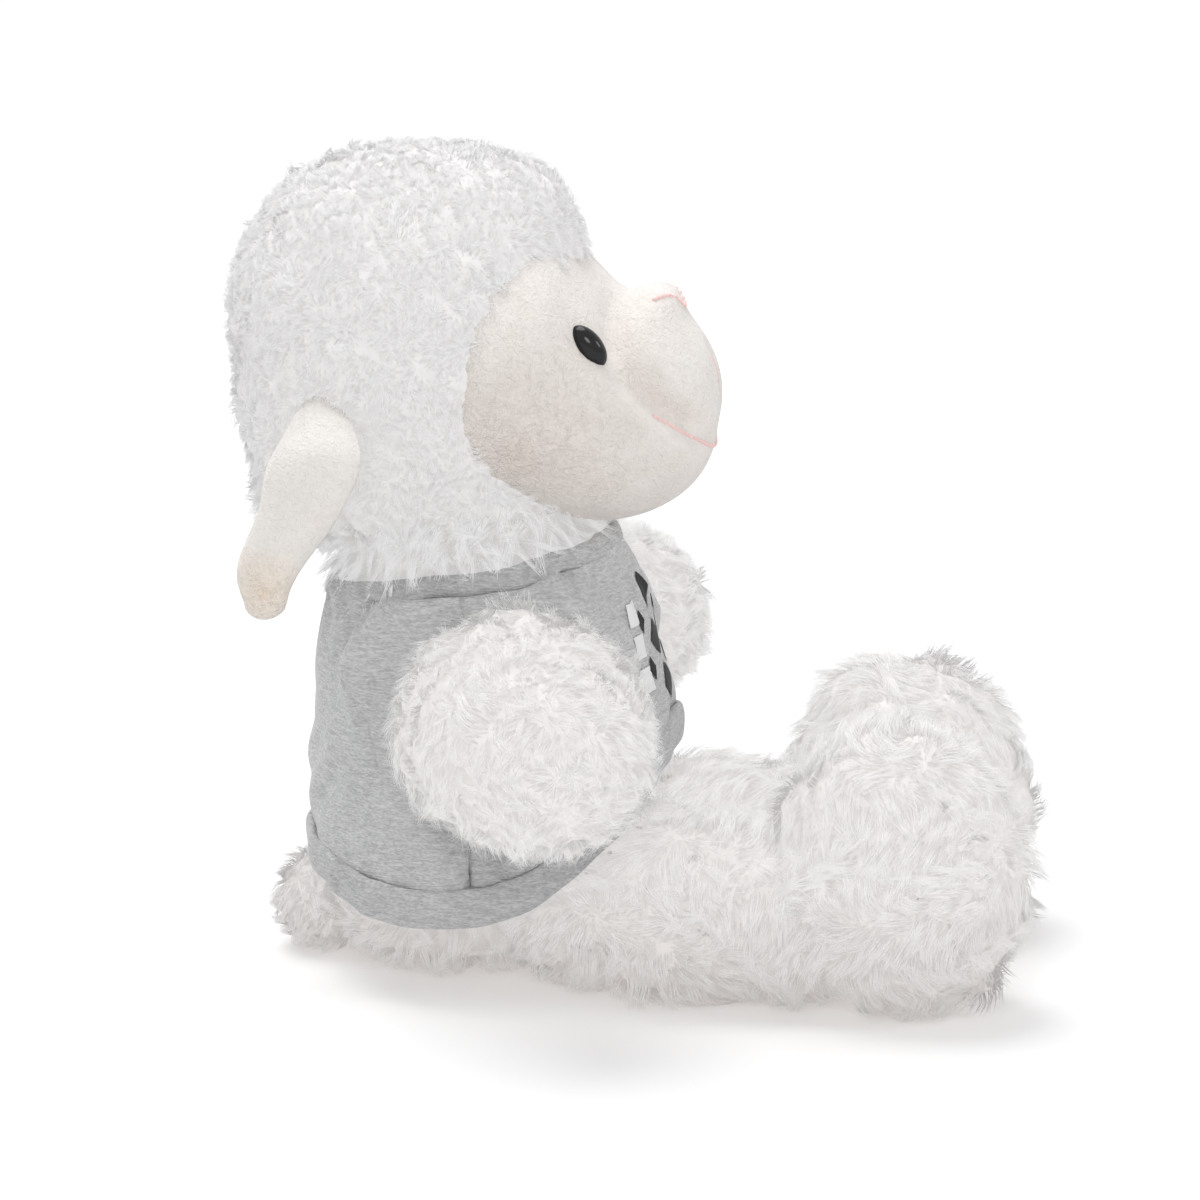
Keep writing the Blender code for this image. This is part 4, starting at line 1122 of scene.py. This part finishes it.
# %% Hem, collar and armhole edges
def tee_tube(name, node, heights, half_height, half_depth, out):
    """A flattened tube of cloth that runs round the tee."""
    def rule(across, up):
        turn, roll = math.tau * across, math.tau * up
        rise, swell = boxed(math.cos(roll), 0.8) * half_height, boxed(math.sin(roll), 0.8) * half_depth
        ripple = 0.0004 * math.sin(turn * 9 + 1) + 0.0003 * math.sin(turn * 23)
        return tee_point(turn, heights(turn) + rise, out + swell + ripple, folds=0.6)

    return add_piece(name, wrapped_grid(200, 20, rule, weld=True), RIB, "torso", [node])


edges_of_tee = [
    tee_tube("tee_hem_edge", "tee_hem", lambda turn: hem_z(turn) + 0.0045, 0.0046, 0.0013, 0.0010),
    tee_tube("tee_collar_edge", "tee_neck_band", lambda turn: collar_z(turn) - 0.0018, 0.0022, 0.0010, 0.0002),
]


def side_turn(x, z):
    """The turn at which the tee's side has this X at this height."""
    low, high = 0.0, math.pi
    for _ in range(24):
        middle = (low + high) / 2
        if tee_point(middle, z, 0, 0).x > x:
            low = middle
        else:
            high = middle
    return (low + high) / 2


for name, side in SIDES.items():
    def rule(across, up, side=side):
        turn, roll = math.tau * across, math.tau * up
        x, z = ARMHOLE_X + ARMHOLE_RADIUS * math.cos(turn), ARMHOLE_Z + ARMHOLE_RADIUS * math.sin(turn)
        centre = tee_point(side_turn(x, z), z)
        spoke = Vector((math.cos(turn), 0, math.sin(turn)))
        thick = 0.0019 + 0.0002 * math.sin(5 * turn)
        place = centre + (spoke * math.cos(roll) + Vector((0, 1, 0)) * math.sin(roll)) * thick
        return Vector((place.x, side * place.y, place.z))

    edge, nodes = wrapped_grid(96, 14, rule, weld=True), [f"tee_armhole_{name}"]
    edges_of_tee.append(add_piece(f"tee_armhole_{name}_edge", edge, RIB, "torso", nodes))
print("edges rolled:", len(edges_of_tee))

# %% [markdown]
# A thin transfer film lies on the chest. Its pattern is a plain one: black lozenges
# between two columns of white blocks. The film is clear elsewhere, so its material cuts it
# out with Alpha, from two numbers kept on the film's own points.

# %% Chest film
FILM_HALF_WIDTH, TEE_ROUND = 0.048, 0.086
FILM_LOW, FILM_HEIGHT, FILM_OUT = 0.0635, 0.0320, 0.00085
film_graph = material_graph("chest_film", {"Roughness": 0.6, "Specular IOR Level": 0.12})
u, v = film_graph.tone("film_u"), film_graph.tone("film_v")


def shares_off(x, y, half_width, half_height):
    """How far off a spot is across and up, where 1 is the spot's edge."""
    return abs((u - x) * (1 / half_width)), abs((v - y) * (1 / half_height))


def lozenge(*spot):
    across, up = shares_off(*spot)
    return 1 - (across + up).over(1.0)


def block(*spot):
    across, up = shares_off(*spot)
    return 1 - across.or_more(up).over(1.0)


def either(*masks):
    total = masks[0]
    for mask in masks[1:]:
        total = total.or_more(mask)
    return total


black = either(
    *(lozenge(0.50, y, 0.10, 0.14) for y in (0.16, 0.50, 0.84)),
    *(lozenge(x, y, 0.055, 0.09) for x in (0.30, 0.70) for y in (0.33, 0.67)),
)
white = either(*(block(x, y, 0.075, 0.085) for x in (0.18, 0.82) for y in (0.28, 0.52, 0.76)))
FILM = film_graph.feed(
    Base_Color=film_graph.mix(black, 0.84, (0.012, 0.012, 0.013)), Alpha=either(black, white),
    Normal=film_graph.bump(film_graph.noise(900, 3), 0.0002, 0.3),
)
film = wrapped_grid(60, 40, lambda across, up: Vector((across, up, 0)))
layers = [film.verts.layers.float.new(title) for title in ("film_u", "film_v")]
for vert in film.verts:
    across, up, _ = vert.co
    vert[layers[0]], vert[layers[1]] = across, up
    turn = (across * 2 - 1) * FILM_HALF_WIDTH / TEE_ROUND
    vert.co = tee_point(turn, FILM_LOW + FILM_HEIGHT * up, FILM_OUT)
bmesh.ops.recalc_face_normals(film, faces=film.faces)
film_piece = add_piece("chest_film", film, FILM, "torso", ["chest_print"])

for (piece, cloth_area), extra in zip(panels, (edges_of_tee + [film_piece], [])):
    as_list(extra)
print("tee dressed")

# %% [markdown]
# What holds the toy in shape stays out of sight: stuffing, the washers behind the eyes and
# the pouch of pellets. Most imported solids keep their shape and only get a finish. The head's
# stuffing and the washers are made anew, as the stitches here pull the face in deeper.

# %% Hidden pieces
def plain_finish(name, light, dark, scale, depth, roughness):
    graph = material_graph(name, {"Roughness": roughness})
    grain = graph.noise(scale, 4)
    return graph.feed(Base_Color=graph.mix(grain, dark, light), Normal=graph.bump(grain, depth, 0.6))


FIBRE = plain_finish("loose_fibre", (0.88, 0.87, 0.85), (0.74, 0.73, 0.71), 420, 0.0010, 1.0)
POUCH = plain_finish("pouch_cloth", (0.62, 0.60, 0.54), (0.50, 0.48, 0.42), 900, 0.0004, 0.9)
WASHER = plain_finish("washer_plastic", (0.76, 0.76, 0.74), (0.70, 0.70, 0.68), 200, 0.0001, 0.45)
for title, node in NODES.items():
    if title == "seat_pouch" or title.endswith("_filling") and title != "head_filling":
        for entry in node.material_slots:
            entry.material = POUCH if title == "seat_pouch" else FIBRE
head_core = shrunk(standing_form(*HEAD_FORM), 0.0016)
for vert in head_core.verts:
    from_neck = vert.co - NECK_MIDDLE
    vert.co = NECK_MIDDLE + from_neck.normalized() * max(from_neck.length, 0.0288)
core_mesh = bpy.data.meshes.new("head_core")
head_core.to_mesh(core_mesh)
face_core.from_mesh(core_mesh)
add_piece("head_stuffing", face_core, FIBRE, "head", ["head_filling"])
DISC = {"cap_ends": True, "segments": 32, "radius1": 0.0050, "radius2": 0.0050, "depth": 0.0012}
for name, place in behind_eye.items():
    disc = bmesh.new()
    bmesh.ops.create_cone(disc, **DISC, matrix=place)
    add_piece(f"eye_{name}_washer", disc, WASHER, "head", [f"eye_washer_{name}"])
print("hidden pieces finished")
